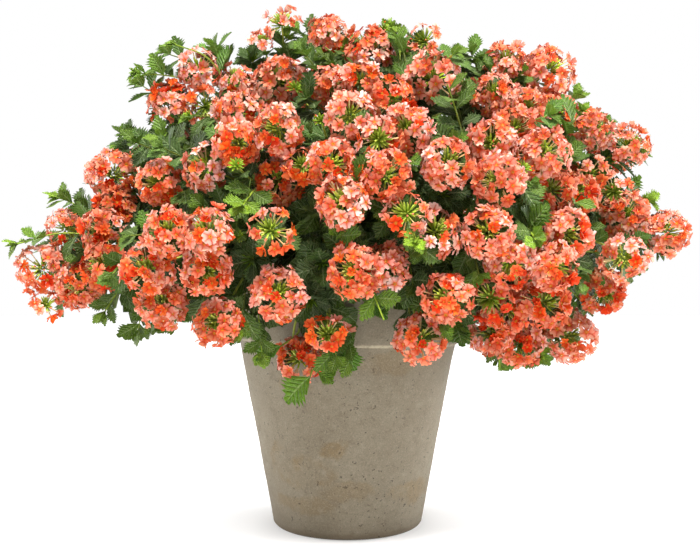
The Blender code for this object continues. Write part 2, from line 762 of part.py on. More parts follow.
shoot_pieces = []
leaf_total = 0
for base, tip in shoot_plan:
    if len(shoot_pieces) >= SHOOT_COUNT:
        break
    node = "leafy_shoot_%02d" % (len(shoot_pieces) + 1)
    found = nearest_stem(base)
    d, q, along, r, parent = found
    for attempt in range(60):
        j = 0.0007 * attempt
        jit = Vector((rng.uniform(-j, j), rng.uniform(-j, j), rng.uniform(-j, j)))
        target = tip + jit
        lead = (target - q).normalized()
        side = lead - along * lead.dot(along)
        if side.length < 0.2:
            side = side + frame_of(along)[0] * 0.3
        side.normalize()
        s = q + side * (r + 0.0010 + SHOOT_R * 0.4)
        mid = s.lerp(target, 0.5) + Vector((0, 0, 0.10 * (target - s).length)) + side * 0.004 + jit * 0.6
        line = [s, mid, target]
        v, f = tube(line, [SHOOT_R, SHOOT_R, SHOOT_R * 0.7], 0.00025, side, sides=3)
        cand = Placed(node, v, f)
        if hits(cand, placed) is None and not any(inside_head(p, heads, None) for p in line):
            break
    else:
        continue
    v, f = tube(line, [SHOOT_R, SHOOT_R, SHOOT_R * 0.7], 0.0, side, sides=3)
    mine = [(v, f)]
    mine_placed = [Placed(node, v, f)]
    leaves = 0
    spots = ((1.0, 0, 0.020), (1.0, 2, 0.020), (0.74, 1, 0.026), (0.74, 3, 0.026), (0.46, 0, 0.030))
    for t, quarter, size in spots:
        seg = t * 2
        k0 = min(int(seg), 1)
        at = line[k0].lerp(line[k0 + 1], seg - k0)
        ahead = (line[k0 + 1] - line[k0]).normalized()
        x, y, _ = frame_of(ahead)
        a0 = quarter * math.pi / 2 + 0.5
        for attempt in range(26):
            a = a0 + rng.uniform(-0.05, 0.05) * attempt
            out = x * math.cos(a) + y * math.sin(a)
            lean = 0.75 if t < 1.0 else 1.3
            direction = (out + ahead * (lean + rng.uniform(-0.03, 0.03) * attempt) - Vector((0, 0, 0.12))).normalized()
            normal = (ahead - direction * ahead.dot(direction) + Vector((0, 0, 0.25))).normalized()
            if direction.cross(normal).length < 0.3:
                continue
            length = size * (1.0 - 0.012 * attempt) * rng.uniform(0.92, 1.08)
            width = length * 0.62
            b0 = at - direction * 0.0004
            v, f = leaf_solid(b0, direction, normal, length, width, 0.0004)
            cand = Placed(node, v, f)
            if hits(cand, placed) is None and not any(inside_head(p, heads, None) for p in v):
                v, f = leaf_solid(b0, direction, normal, length, width)
                mine.append((v, f))
                mine_placed.append(Placed(node, v, f))
                leaves += 1
                break
    if leaves < 2:
        continue
    leaf_total += leaves
    placed += mine_placed
    shoot_pieces.append((node, mine))
print("stems", len(names), "shoots", len(shoot_pieces), "leaves", leaf_total)


# ---------------------------------------------------------------- joining what grew as one piece
def grown_together(name, solids, mat):
    """One body from overlapping solids, joined by Boolean unions."""
    base = add_object(name, solids[0][0], solids[0][1], mat)
    group = bpy.data.collections.new(name + "_parts")
    bpy.context.scene.collection.children.link(group)
    helpers = []
    for i, (v, f) in enumerate(solids[1:]):
        me = bpy.data.meshes.new("%s_%d" % (name, i))
        me.from_pydata([tuple(p) for p in v], [], [tuple(p) for p in f])
        me.update()
        ob = bpy.data.objects.new("%s_%d" % (name, i), me)
        group.objects.link(ob)
        helpers.append(ob)
    mod = base.modifiers.new("grown", "BOOLEAN")
    mod.operation = "UNION"
    mod.operand_type = "COLLECTION"
    mod.collection = group
    mod.solver = "EXACT"
    bpy.context.view_layer.update()
    graph = bpy.context.evaluated_depsgraph_get()
    whole = bpy.data.meshes.new_from_object(base.evaluated_get(graph))
    base.modifiers.clear()
    old = base.data
    base.data = whole
    bpy.data.meshes.remove(old)
    whole.name = name
    whole.materials.clear()
    whole.materials.append(mat)
    for ob in helpers:
        me = ob.data
        bpy.data.objects.remove(ob, do_unlink=True)
        bpy.data.meshes.remove(me)
    bpy.data.collections.remove(group)
    return base


for name in names:
    grown_together(name, pieces[name], MAT_FLOWER)
for name, solids in shoot_pieces:
    grown_together(name, solids, MAT_LEAF)
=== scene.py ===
# Potted verbena in flower: the looks of the object.
# Metres, +Z up. The origin is the middle of the pot's foot; -Y is the front.
import bpy
import math
import random
import numpy as np
from mathutils import Vector, Matrix
from mathutils import noise as mnoise
from mathutils.bvhtree import BVHTree


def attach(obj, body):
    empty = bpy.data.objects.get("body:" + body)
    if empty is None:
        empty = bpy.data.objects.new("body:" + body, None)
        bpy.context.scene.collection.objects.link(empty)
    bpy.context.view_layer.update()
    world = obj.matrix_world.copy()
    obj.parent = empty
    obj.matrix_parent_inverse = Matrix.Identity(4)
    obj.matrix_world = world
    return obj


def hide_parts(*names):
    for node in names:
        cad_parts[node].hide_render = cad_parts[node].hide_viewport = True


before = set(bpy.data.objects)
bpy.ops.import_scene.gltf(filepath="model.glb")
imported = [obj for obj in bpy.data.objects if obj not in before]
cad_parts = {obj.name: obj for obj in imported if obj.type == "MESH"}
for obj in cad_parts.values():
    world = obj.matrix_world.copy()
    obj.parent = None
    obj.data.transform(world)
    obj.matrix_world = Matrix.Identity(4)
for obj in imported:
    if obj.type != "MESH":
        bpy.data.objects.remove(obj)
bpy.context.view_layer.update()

# =====================================================================
# Layout: the same places of heads, stems and shoots as the solid pieces
# =====================================================================
# ---------------------------------------------------------------- sizes
POT_FOOT_R = 0.0722        # flat part of the foot
POT_EDGE_R = 0.0772        # wall radius just above the rounded edge
POT_EDGE_H = 0.0050
BAND_Z = 0.1880            # lower edge of the rim band
BAND_R_UNDER = 0.1124
BAND_R = 0.1138
RIM_Z = 0.2520
RIM_R = 0.1257
WALL = 0.0130              # wall thickness at the rim
FLOOR_Z = 0.0160
FLOOR_R = 0.0640
POT_SIDES = 36
DRAIN_R = 0.0060
DRAIN_RING_R = 0.0360
GAP = 0.0003               # clearance between touching pieces

SOIL_TOP_Z = 0.2300
CROWN_R = 0.0480
CROWN_H = 0.0120

STEM_R_BASE = 0.0026       # half diagonal of a square stem at the crown
STEM_R_FORK = 0.0019
PEDUNCLE_R = 0.0013
SHOOT_R = 0.0013
LEAF_T = 0.0011            # blade thickness
STEM_COUNT = 25
SHOOT_COUNT = 31

# The mound of foliage: widest at MID_Z
MID_Z = 0.290
HALF_X = 0.353
HALF_Y_FRONT = 0.238
HALF_Y_BACK = 0.222
RISE = 0.250
DROP = 0.160

# Viewing point from which the places of the flower heads are laid out
EYE = Vector((0.0025, -0.885, 0.2335))
EYE_TILT = math.radians(1.15)
EYE_F = 841.0

# Flower heads of the front: place and radius on the view, place of the calyx
# centre, and kind (m mature, o older and loose, y young, b bud, h half hidden)
HEADS = [
    (111, 171, 27, 114, 170, "m"), (157, 180, 24, 151, 181, "m"), (166, 142, 18, 166, 140, "h"),
    (64, 228, 20, 68, 230, "o"), (101, 231, 25, 95, 230, "m"), (112, 205, 19, 110, 198, "h"),
    (39, 269, 24, 38, 267, "o"), (76, 284, 23, 72, 287, "m"), (98, 266, 19, 86, 265, "h"),
    (145, 268, 27, 143, 262, "m"), (162, 304, 26, 160, 299, "m"), (168, 227, 26, 167, 224, "m"),
    (44, 305, 12, 44, 302, "y"), (197, 65, 21, 197, 60, "o"), (169, 98, 23, 166, 88, "m"),
    (203, 104, 17, 203, 106, "y"), (236, 77, 20, 236, 68, "o"), (251, 55, 14, 251, 50, "h"),
    (277, 76, 26, 276, 70, "m"), (281, 20, 17, 280, 13, "y"), (238, 112, 25, 238, 117, "m"),
    (276, 126, 24, 271, 125, "m"), (236, 141, 23, 238, 143, "m"), (203, 165, 25, 195, 162, "o"),
    (295, 86, 9, 295, 80, "b"), (236, 164, 9, 236, 160, "b"), (277, 178, 27, 277, 177, "m"),
    (302, 163, 17, 302, 160, "y"), (144, 138, 9, 143, 132, "b"), (262, 38, 10, 262, 33, "y"),
    (327, 31, 22, 326, 22, "m"), (368, 45, 25, 366, 34, "m"), (424, 37, 17, 421, 33, "y"),
    (433, 73, 27, 433, 64, "o"), (384, 27, 7, 384, 22, "b"), (332, 84, 19, 335, 84, "m"),
    (360, 80, 21, 360, 76, "m"), (378, 80, 17, 380, 74, "h"), (392, 98, 22, 394, 98, "m"),
    (349, 113, 22, 349, 113, "o"), (407, 127, 28, 405, 122, "m"), (379, 137, 19, 380, 137, "y"),
    (321, 119, 9, 321, 114, "b"), (332, 162, 25, 338, 162, "m"), (387, 174, 27, 390, 172, "m"),
    (448, 160, 27, 451, 155, "m"), (507, 58, 19, 507, 48, "m"), (551, 66, 26, 556, 61, "m"),
    (495, 92, 24, 495, 86, "m"), (527, 105, 20, 528, 103, "m"), (557, 110, 20, 558, 107, "h"),
    (515, 127, 18, 515, 124, "h"), (594, 127, 18, 597, 124, "m"), (632, 142, 20, 637, 138, "o"),
    (492, 141, 22, 491, 140, "m"), (545, 150, 26, 546, 147, "m"), (498, 178, 22, 492, 177, "m"),
    (523, 167, 9, 523, 161, "b"), (590, 174, 16, 587, 178, "y"), (553, 188, 16, 553, 186, "h"),
    (206, 230, 25, 199, 223, "m"), (206, 270, 26, 208, 270, "m"), (250, 260, 21, 243, 263, "h"),
    (270, 227, 20, 270, 224, "y"), (278, 293, 28, 278, 289, "m"), (216, 323, 22, 213, 322, "m"),
    (311, 302, 17, 308, 306, "h"), (341, 200, 23, 336, 194, "m"), (443, 191, 22, 443, 187, "h"),
    (407, 212, 19, 406, 209, "y"), (438, 228, 25, 444, 221, "o"), (354, 271, 23, 348, 270, "m"),
    (386, 266, 22, 380, 259, "m"), (322, 262, 17, 322, 260, "h"), (447, 298, 27, 438, 293, "m"),
    (421, 340, 26, 422, 337, "m"), (328, 335, 17, 328, 332, "y"), (299, 360, 23, 296, 357, "m"),
    (488, 229, 23, 486, 228, "m"), (512, 265, 22, 513, 276, "m"), (568, 231, 28, 570, 232, "m"),
    (556, 266, 22, 561, 268, "m"), (491, 299, 21, 487, 300, "y"), (546, 303, 27, 547, 298, "m"),
    (509, 309, 14, 509, 309, "h"), (492, 334, 23, 490, 333, "m"), (520, 345, 24, 520, 345, "m"),
    (571, 337, 26, 572, 335, "m"), (615, 190, 16, 613, 192, "y"), (578, 190, 13, 578, 188, "h"),
    (628, 215, 25, 630, 210, "m"), (670, 231, 22, 673, 230, "m"), (625, 258, 20, 621, 262, "o"),
    (607, 292, 23, 610, 294, "m"),
]

# Outline of the flowers and leaves on the view
OUTLINE = [
    (14, 262), (22, 240), (52, 228), (84, 165), (120, 128), (143, 100), (150, 80), (176, 62),
    (212, 42), (262, 22), (297, 8), (330, 10), (370, 22), (403, 25), (425, 24), (445, 40),
    (485, 44), (525, 42), (551, 40), (576, 65), (578, 95), (612, 115), (648, 130), (650, 158),
    (660, 195), (690, 222), (680, 252), (645, 272), (629, 290), (607, 316), (597, 340), (570, 362),
    (520, 370), (470, 350), (425, 364), (398, 345), (396, 300), (372, 300), (350, 360), (300, 398),
    (250, 345), (200, 342), (185, 322), (145, 340), (120, 318), (60, 318), (32, 308),
]

# Leafy shoots that show at the edge of the mound: base and tip on the view
SHOOTS = [
    (178, 84, 140, 72), (196, 70, 168, 50), (50, 232, 18, 242), (80, 222, 52, 196),
    (118, 285, 98, 322), (140, 306, 142, 342), (170, 330, 186, 346), (236, 318, 262, 352),
    (296, 366, 298, 398), (340, 338, 354, 368), (372, 292, 384, 320), (452, 322, 468, 344),
    (500, 350, 500, 368), (538, 340, 548, 360), (590, 306, 602, 326), (640, 214, 664, 200),
    (660, 246, 682, 258), (612, 160, 640, 150), (560, 96, 590, 100), (506, 74, 522, 70),
    (455, 110, 447, 84), (395, 62, 402, 36), (312, 56, 316, 38), (250, 176, 242, 206),
    (400, 244, 418, 240), (530, 214, 536, 240),
]



def turned(profile, sides):
    """A solid turned about Z from (r, z) points that run from the lower middle round to the upper middle."""
    verts, faces, rings = [], [], []
    for r, z in profile:
        if r < 1e-6:
            rings.append([len(verts)])
            verts.append(Vector((0, 0, z)))
        else:
            rings.append(list(range(len(verts), len(verts) + sides)))
            for k in range(sides):
                a = 2 * math.pi * k / sides
                verts.append(Vector((r * math.cos(a), r * math.sin(a), z)))
    for a, b in zip(rings, rings[1:]):
        for k in range(sides):
            n = (k + 1) % sides
            if len(a) == 1 and len(b) == 1:
                continue
            if len(a) == 1:
                faces.append((a[0], b[n], b[k]))
            elif len(b) == 1:
                faces.append((a[k], a[n], b[0]))
            else:
                faces.append((a[k], a[n], b[n], b[k]))
    return verts, faces


# ---------------------------------------------------------------- the pot
def pot_radius(z):
    """Outer wall radius at a height."""
    if z < BAND_Z:
        return POT_EDGE_R + (BAND_R_UNDER - POT_EDGE_R) * max(z - POT_EDGE_H, 0.0) / (BAND_Z - POT_EDGE_H)
    return BAND_R + (RIM_R - BAND_R) * min(z - BAND_Z, RIM_Z - BAND_Z) / (RIM_Z - BAND_Z)


def pot_inner_radius(z):
    top = RIM_R - WALL
    return FLOOR_R + (top - FLOOR_R) * (z - FLOOR_Z) / (RIM_Z - FLOOR_Z)


pot_profile = [
    (0.0, 0.0),
    (POT_FOOT_R, 0.0),
    (POT_FOOT_R + 0.0036, 0.0014),
    (POT_EDGE_R, POT_EDGE_H),
    (BAND_R_UNDER, BAND_Z),
    (BAND_R, BAND_Z + 0.0012),
    (RIM_R, RIM_Z - 0.0020),
    (RIM_R - 0.0020, RIM_Z),
    (RIM_R - WALL + 0.0020, RIM_Z),
    (RIM_R - WALL, RIM_Z - 0.0020),
    (FLOOR_R, FLOOR_Z),
    (0.0, FLOOR_Z),
]
# ---------------------------------------------------------------- the soil
low = FLOOR_Z + GAP
inset = GAP * 1.4
soil_profile = [
    (0.0, low),
    (pot_inner_radius(low) - inset, low),
    (pot_inner_radius(SOIL_TOP_Z - 0.006) - inset, SOIL_TOP_Z - 0.006),
    (0.080, SOIL_TOP_Z - 0.002),
    (0.060, SOIL_TOP_Z),
    (0.0, SOIL_TOP_Z),
]
# ---------------------------------------------------------------- the root crown
CROWN_LOW = SOIL_TOP_Z + GAP
CROWN_TOP = CROWN_LOW + CROWN_H
cv, cf = turned([
    (0.0, CROWN_LOW),
    (CROWN_R * 0.96, CROWN_LOW),
    (CROWN_R, CROWN_LOW + CROWN_H * 0.45),
    (CROWN_R * 0.88, CROWN_TOP),
    (0.0, CROWN_TOP),
], 14)


# ---------------------------------------------------------------- shape of the mound
def sight(px, py):
    u = (px - 350.0) / EYE_F
    v = -(py - 280.0) / EYE_F
    c, s = math.cos(EYE_TILT), math.sin(EYE_TILT)
    return Vector((u, c - s * v, s + c * v)).normalized()


def on_view(p):
    d = p - EYE
    c, s = math.cos(EYE_TILT), math.sin(EYE_TILT)
    depth = c * d.y + s * d.z
    return 350.0 + EYE_F * d.x / depth, 280.0 - EYE_F * (c * d.z - s * d.y) / depth


def bulk(p):
    """Below 1 inside the mound, above 1 outside it."""
    w = min(max((p.x + 0.12) / 0.24, 0.0), 1.0)
    n = 1.5 + 0.4 * w * w * (3 - 2 * w)
    hy = HALF_Y_FRONT if p.y < 0 else HALF_Y_BACK
    if p.z >= MID_Z:
        return (abs(p.x) / HALF_X) ** n + (abs(p.y) / hy) ** n + ((p.z - MID_Z) / RISE) ** n
    return (abs(p.x) / HALF_X) ** 2 + (abs(p.y) / hy) ** 2 + ((MID_Z - p.z) / DROP) ** 2


def outward(p):
    e = 0.004
    g = Vector((
        bulk(p + Vector((e, 0, 0))) - bulk(p - Vector((e, 0, 0))),
        bulk(p + Vector((0, e, 0))) - bulk(p - Vector((0, e, 0))),
        bulk(p + Vector((0, 0, e))) - bulk(p - Vector((0, 0, e))),
    ))
    return g.normalized() if g.length > 1e-9 else Vector((0, 0, 1))


def reach(direction, level=1.0):
    """Distance along a sight line to the mound; near its outline, to the nearest approach."""
    best, best_t, first = 1e9, 0.9, None
    t = 0.58
    while t < 1.16:
        f = bulk(EYE + direction * t)
        if first is None and f < level:
            lo, hi = t - 0.004, t
            for _ in range(12):
                mid = (lo + hi) / 2
                if bulk(EYE + direction * mid) < level:
                    hi = mid
                else:
                    lo = mid
            first = hi
        if f < best:
            best, best_t = f, t
        t += 0.004
    if first is None:
        return best_t
    w = min(max((best - 0.42) / 0.45, 0.0), 1.0)
    w = w * w * (3 - 2 * w)
    return first + (best_t - first) * w


def inside_outline(x, y, margin):
    """Whether a point of the view lies inside the mound's outline, at least a margin from it."""
    odd, near = False, 1e9
    n = len(OUTLINE)
    for i in range(n):
        ax, ay = OUTLINE[i]
        bx, by = OUTLINE[(i + 1) % n]
        if (ay > y) != (by > y) and x < (bx - ax) * (y - ay) / (by - ay) + ax:
            odd = not odd
        ux, uy = bx - ax, by - ay
        t = min(max(((x - ax) * ux + (y - ay) * uy) / (ux * ux + uy * uy), 0.0), 1.0)
        near = min(near, math.hypot(x - ax - t * ux, y - ay - t * uy))
    return odd and near >= margin


def clear_of_pot(p, r):
    """Distance by which a ball stands clear of the pot's outside."""
    if p.z > RIM_Z + r:
        return p.z - RIM_Z - r
    return math.hypot(p.x, p.y) - pot_radius(min(p.z + r, RIM_Z)) - r


class Head:
    pass


def place_heads():
    heads = []
    for px, py, r, cx, cy, kind in HEADS:
        h = Head()
        h.d = sight(px, py)
        h.t = reach(h.d, 0.93)
        h.kind = kind
        h.fixed = True
        size = r * h.t / EYE_F
        if kind in "mo":
            h.r = min(max(size, 0.0215), 0.0270)
        elif kind == "h":
            h.r = 0.0220
            h.t += 0.030
        elif kind == "y":
            h.r = min(max(size, 0.0110), 0.0180)
        else:
            h.r = min(max(size, 0.0060), 0.0085)
        k = 0.9 / r
        ax, az = (cx - px) * k, -(cy - py) * k
        m = math.hypot(ax, az)
        if m > 0.9:
            ax, az = ax * 0.9 / m, az * 0.9 / m
        h.tilt = (ax, az)
        h.p = EYE + h.d * h.t
        heads.append(h)
    # spread in depth wherever two heads would run into each other
    for _ in range(80):
        for i, a in enumerate(heads):
            for b in heads[i + 1:]:
                need = 0.92 * (a.r + b.r) + 0.001
                gap = (a.p - b.p).length
                if gap < need:
                    push = (need - gap) * 0.5 + 0.0004
                    first, second = (a, b) if a.t < b.t or (a.t == b.t and a.r >= b.r) else (b, a)
                    first.t -= push * 0.35
                    second.t += push * 0.9
                    a.p = EYE + a.d * a.t
                    b.p = EYE + b.d * b.t
        for h in heads:
            if clear_of_pot(h.p, h.r * 0.75) < 0.004 and h.p.y < 0:
                h.t -= 0.002
                h.p = EYE + h.d * h.t
    # the sides, the top and the back, which the view doesn't reach
    rng = random.Random(17)
    golden = math.pi * (3 - math.sqrt(5))
    count = 760
    extra = []
    for i in range(count):
        z = 1 - 2 * (i + 0.5) / count
        rr = math.sqrt(1 - z * z)
        a = golden * i
        d = Vector((rr * math.cos(a) * 1.2, rr * math.sin(a), z * 0.8)).normalized()
        core = Vector((0, 0, MID_Z))
        lo, hi = 0.02, 0.5
        for _ in range(24):
            mid = (lo + hi) / 2
            if bulk(core + d * mid) < 0.90:
                lo = mid
            else:
                hi = mid
        p = core + d * lo
        p += outward(p) * (rng.random() - 0.6) * 0.020
        r = 0.0215 + 0.0045 * rng.random()
        kind = "m"
        roll = rng.random()
        if roll < 0.10:
            kind, r = "y", 0.0145
        elif roll < 0.28:
            kind = "o"
        if p.z < 0.195 or p.y < -0.045:
            continue
        vx, vy = on_view(p)
        if not inside_outline(vx, vy, r * EYE_F / 0.9 * 0.92):
            continue
        if clear_of_pot(p, r) < 0.006:
            continue
        spread = 0.0560 if p.z > 0.30 else 0.062
        if len(heads) + len(extra) < 146 and all((p - h.p).length > spread * (0.8 if h.r < 0.015 else 1.0) for h in heads + extra):
            h = Head()
            h.p, h.r, h.kind, h.fixed = p, r, kind, False
            h.tilt = None
            extra.append(h)
    heads += extra
    right, up = Vector((1, 0, 0)), Vector((0, 0, 1))
    for h in heads:
        n = outward(h.p)
        if h.tilt is None:
            jit = Vector((rng.random() - 0.5, rng.random() - 0.5, rng.random() - 0.3)) * 0.5
            h.axis = (n + up * 0.30 + jit).normalized()
        else:
            ax, az = h.tilt
            ay = math.sqrt(max(1 - ax * ax - az * az, 0.0))
            facing = (right * ax + up * az - h.d * ay).normalized()
            h.axis = (facing * 0.72 + n * 0.28 + up * 0.10).normalized()
    return heads


# ---------------------------------------------------------------- solid shapes
def frame_of(axis):
    z = axis.normalized()
    helper = Vector((0, 0, 1)) if abs(z.z) < 0.9 else Vector((1, 0, 0))
    x = helper.cross(z).normalized()
    return x, z.cross(x), z


def head_solid(h, grow=0.0):
    """The outer shape of a flower head: a low dome over a shallow funnel."""
    x, y, z = frame_of(h.axis)
    r = h.cad_r + grow
    sides = 6 if h.r > 0.0185 else 5 if h.r > 0.010 else 4
    verts = [h.p - z * (0.58 * h.cad_r + grow)]
    faces = []
    for fr, fz in ((1.0, -0.02), (0.58, 0.40)):
        for k in range(sides):
            a = 2 * math.pi * (k + 0.25) / sides
            zz = fz * h.cad_r + (grow if fz > 0 else 0)
            verts.append(h.p + x * (fr * r * math.cos(a)) + y * (fr * r * math.sin(a)) + z * zz)
    for k in range(sides):
        n = (k + 1) % sides
        faces.append((0, 1 + n, 1 + k))
        faces.append((1 + k, 1 + n, 1 + sides + n, 1 + sides + k))
    faces.append(tuple(range(1 + sides, 1 + 2 * sides)))
    return verts, faces


def tube(points, radii, grow=0.0, first_axis=None, sides=4):
    """A stem along a path: square for the main stems, three-edged for the thin ones."""
    verts, faces = [], []
    n = len(points)
    t0 = (points[1] - points[0]).normalized()
    x, y, _ = frame_of(t0)
    prev = t0
    for i, p in enumerate(points):
        if i == 0:
            t = first_axis if first_axis is not None else t0
        elif i == n - 1:
            t = (points[-1] - points[-2]).normalized()
        else:
            t = ((points[i] - points[i - 1]).normalized() + (points[i + 1] - points[i]).normalized()).normalized()
        q = prev.rotation_difference(t)
        x = q @ x
        y = q @ y
        prev = t
        rr = radii[i] + grow
        o = p
        if grow and i == n - 1:
            o = p + t * grow
        for k in range(sides):
            a = 2 * math.pi * k / sides
            verts.append(o + (x * math.cos(a) + y * math.sin(a)) * rr)
    for i in range(n - 1):
        for k in range(sides):
            m = (k + 1) % sides
            faces.append((sides * i + k, sides * i + m, sides * (i + 1) + m, sides * (i + 1) + k))
    faces.append(tuple(range(sides - 1, -1, -1)))
    faces.append(tuple(range(sides * (n - 1), sides * n)))
    return verts, faces


def leaf_solid(base, along, normal, length, width, grow=0.0):
    """A leaf blade, folded a little along its midrib and pointed at both ends."""
    y = along.normalized()
    x = y.cross(normal).normalized()
    z = x.cross(y).normalized()
    th = LEAF_T / 2 + grow
    w = width / 2 + grow
    lift = 0.14 * width
    ring = [(0.0, 0.0, 0.0), (w, 0.42, lift), (0.0, 1.0, -0.05 * length), (-w, 0.42, lift)]
    verts = []
    for s in (1, -1):
        for a, t, up in ring:
            edge = 0.55 if a else 1.0
            verts.append(base + x * a + y * (t * length + (grow if t == 1.0 else 0)) + z * (up + s * th * edge))
        verts.append(base + y * (0.42 * length) + z * (s * th))
    top, low = [0, 1, 2, 3], [5, 6, 7, 8]
    faces = []
    for k in range(4):
        m = (k + 1) % 4
        faces.append((top[k], top[m], 4))
        faces.append((low[m], low[k], 9))
        faces.append((top[m], top[k], low[k], low[m]))
    return verts, faces


def bezier(a, b, c, d, n):
    out = []
    for i in range(n + 1):
        t = i / n
        s = 1 - t
        out.append(a * s ** 3 + b * (3 * s * s * t) + c * (3 * s * t * t) + d * t ** 3)
    return out


class Placed:
    """A placed solid with its box and search tree, for keeping the pieces apart."""

    def __init__(self, node, verts, faces):
        self.node = node
        self.lo = [min(v[i] for v in verts) for i in range(3)]
        self.hi = [max(v[i] for v in verts) for i in range(3)]
        self.tree = BVHTree.FromPolygons([tuple(v) for v in verts], [tuple(f) for f in faces])
        self.verts = verts


def hits(candidate, placed, skip=None):
    for p in placed:
        if p.node == skip:
            continue
        if any(candidate.lo[i] > p.hi[i] or candidate.hi[i] < p.lo[i] for i in range(3)):
            continue
        if candidate.tree.overlap(p.tree):
            return p
    return None


def inside_head(v, heads, skip, margin=0.001):
    for h in heads:
        if h.node == skip:
            continue
        d = v - h.p
        if d.length > h.r * 1.1:
            continue
        a = d.dot(h.axis)
        rr = (d - h.axis * a).length
        if -0.58 * h.cad_r - margin < a < 0.40 * h.cad_r + margin and rr < h.cad_r * 0.9:
            return True
    return False


# ---------------------------------------------------------------- grouping the heads on stems
heads = place_heads()
for h in heads:
    h.cad_r = h.r * 0.94
    h.node = None


def spread_out(points, k):
    """k starting points, each the farthest from those before it."""
    chosen = [0]
    while len(chosen) < k:
        best = max(range(len(points)), key=lambda i: min((points[i] - points[c]).length for c in chosen))
        chosen.append(best)
    return [points[c].copy() for c in chosen]


positions = [h.p for h in heads]
centres = spread_out(positions, STEM_COUNT)
for _ in range(14):
    groups = [[] for _ in centres]
    for i, p in enumerate(positions):
        k = min(range(len(centres)), key=lambda c: (p - centres[c]).length + 0.0065 * max(len(groups[c]) - 4, 0))
        groups[k].append(i)
    for k, g in enumerate(groups):
        if g:
            centres[k] = sum((positions[i] for i in g), Vector()) / len(g)
groups = [g for g in groups if g]
groups.sort(key=lambda g: sum(math.atan2(positions[i].y, positions[i].x) for i in g) / len(g))

# obstacles: pot, soil and crown
placed = []


def world_piece(node, profile, sides):
    v, f = turned(profile, sides)
    placed.append(Placed(node, v, f))


world_piece("pot", pot_profile, POT_SIDES)
world_piece("potting_soil", soil_profile, POT_SIDES)
placed.append(Placed("root_crown", cv, cf))

for k, g in enumerate(groups):
    for i in g:
        heads[i].node = "flowering_stem_%02d" % (k + 1)

# shrink a head's solid a little where it still meets one of another stem
head_trees = []
for h in heads:
    for _ in range(12):
        v, f = head_solid(h, 0.0004)
        cand = Placed(h.node, v, f)
        if hits(cand, placed) is None and hits(cand, head_trees, skip=h.node) is None:
            break
        h.cad_r *= 0.94
    head_trees.append(cand)
placed += head_trees

# ---------------------------------------------------------------- stems from the crown
rng = random.Random(5)
names = ["flowering_stem_%02d" % (k + 1) for k in range(len(groups))]
centroid = [sum((heads[i].p for i in g), Vector()) / len(g) for g in groups]
order = sorted(range(len(groups)), key=lambda k: -(centroid[k].z - 0.6 * math.hypot(centroid[k].x, centroid[k].y)))
inner = order[:8]
outer = order[8:]
root_at = {}
for j, k in enumerate(sorted(inner, key=lambda k: math.atan2(centroid[k].y, centroid[k].x))):
    a = math.atan2(centroid[k].y, centroid[k].x)
    a = -math.pi + 2 * math.pi * (j + 0.5) / len(inner)
    root_at[k] = Vector((0.0150 * math.cos(a), 0.0150 * math.sin(a), CROWN_TOP + 0.0004))
ring = sorted(outer, key=lambda k: math.atan2(centroid[k].y, centroid[k].x))
for j, k in enumerate(ring):
    a = -math.pi + 2 * math.pi * (j + 0.5) / len(ring)
    rr = 0.0385 if j % 2 else 0.0290
    root_at[k] = Vector((rr * math.cos(a), rr * math.sin(a), CROWN_TOP + 0.0004))

pieces = {n: [] for n in names}      # (verts, faces) of each stem's solids
paths = []                           # (node, points, radius) for the leafy shoots to spring from
trunks = {}
for k in range(len(groups)):
    c = centroid[k]
    core = Vector((0.22 * c.x, 0.22 * c.y, 0.30 + 0.25 * (c.z - 0.30)))
    tip = core.lerp(c, 0.58)
    flat = math.hypot(tip.x, tip.y)
    if tip.z < 0.292 and flat < 0.165:
        tip.z = 0.292
    start = root_at[k]
    best = None
    for attempt in range(60):
        j = 0.0006 * attempt
        jit = Vector((rng.uniform(-j, j), rng.uniform(-j, j), rng.uniform(0, j)))
        lean = Vector((start.x, start.y, 0.0))
        b = start + Vector((0, 0, 0.034)) + lean * 0.35
        away = (tip - Vector((0, 0, tip.z - 0.06))).normalized() if flat > 1e-4 else Vector((0, 0, 1))
        back = Vector((away.x * 0.8, away.y * 0.8, 0.25 if c.z < 0.34 else 0.7)).normalized()
        d = tip + jit
        cc = d - back * 0.040 + jit * 0.5
        if c.z < 0.30:
            cc = Vector((d.x * 0.62, d.y * 0.62, max(d.z, 0.300) + 0.012)) + jit
        pts = bezier(start, b, cc, d, 6)
        rad = [STEM_R_BASE + (STEM_R_FORK - STEM_R_BASE) * i / 6 for i in range(7)]
        v, f = tube(pts, rad, 0.0003, Vector((0, 0, 1)))
        v = [q if q.z > start.z - 0.00005 else Vector((q.x, q.y, start.z)) for q in v]
        cand = Placed(names[k], v, f)
        if hits(cand, placed, skip=names[k]) is None:
            best = (pts, rad)
            break
    if best is None:
        best = (pts, rad)
        print("stem kept with contact:", names[k])
    pts, rad = best
    trunks[k] = (pts, rad)
    v, f = tube(pts, rad, 0.0, Vector((0, 0, 1)))
    placed.append(Placed(names[k], v, f))
    pieces[names[k]].append((v, f))
    paths.append((names[k], pts, STEM_R_FORK))

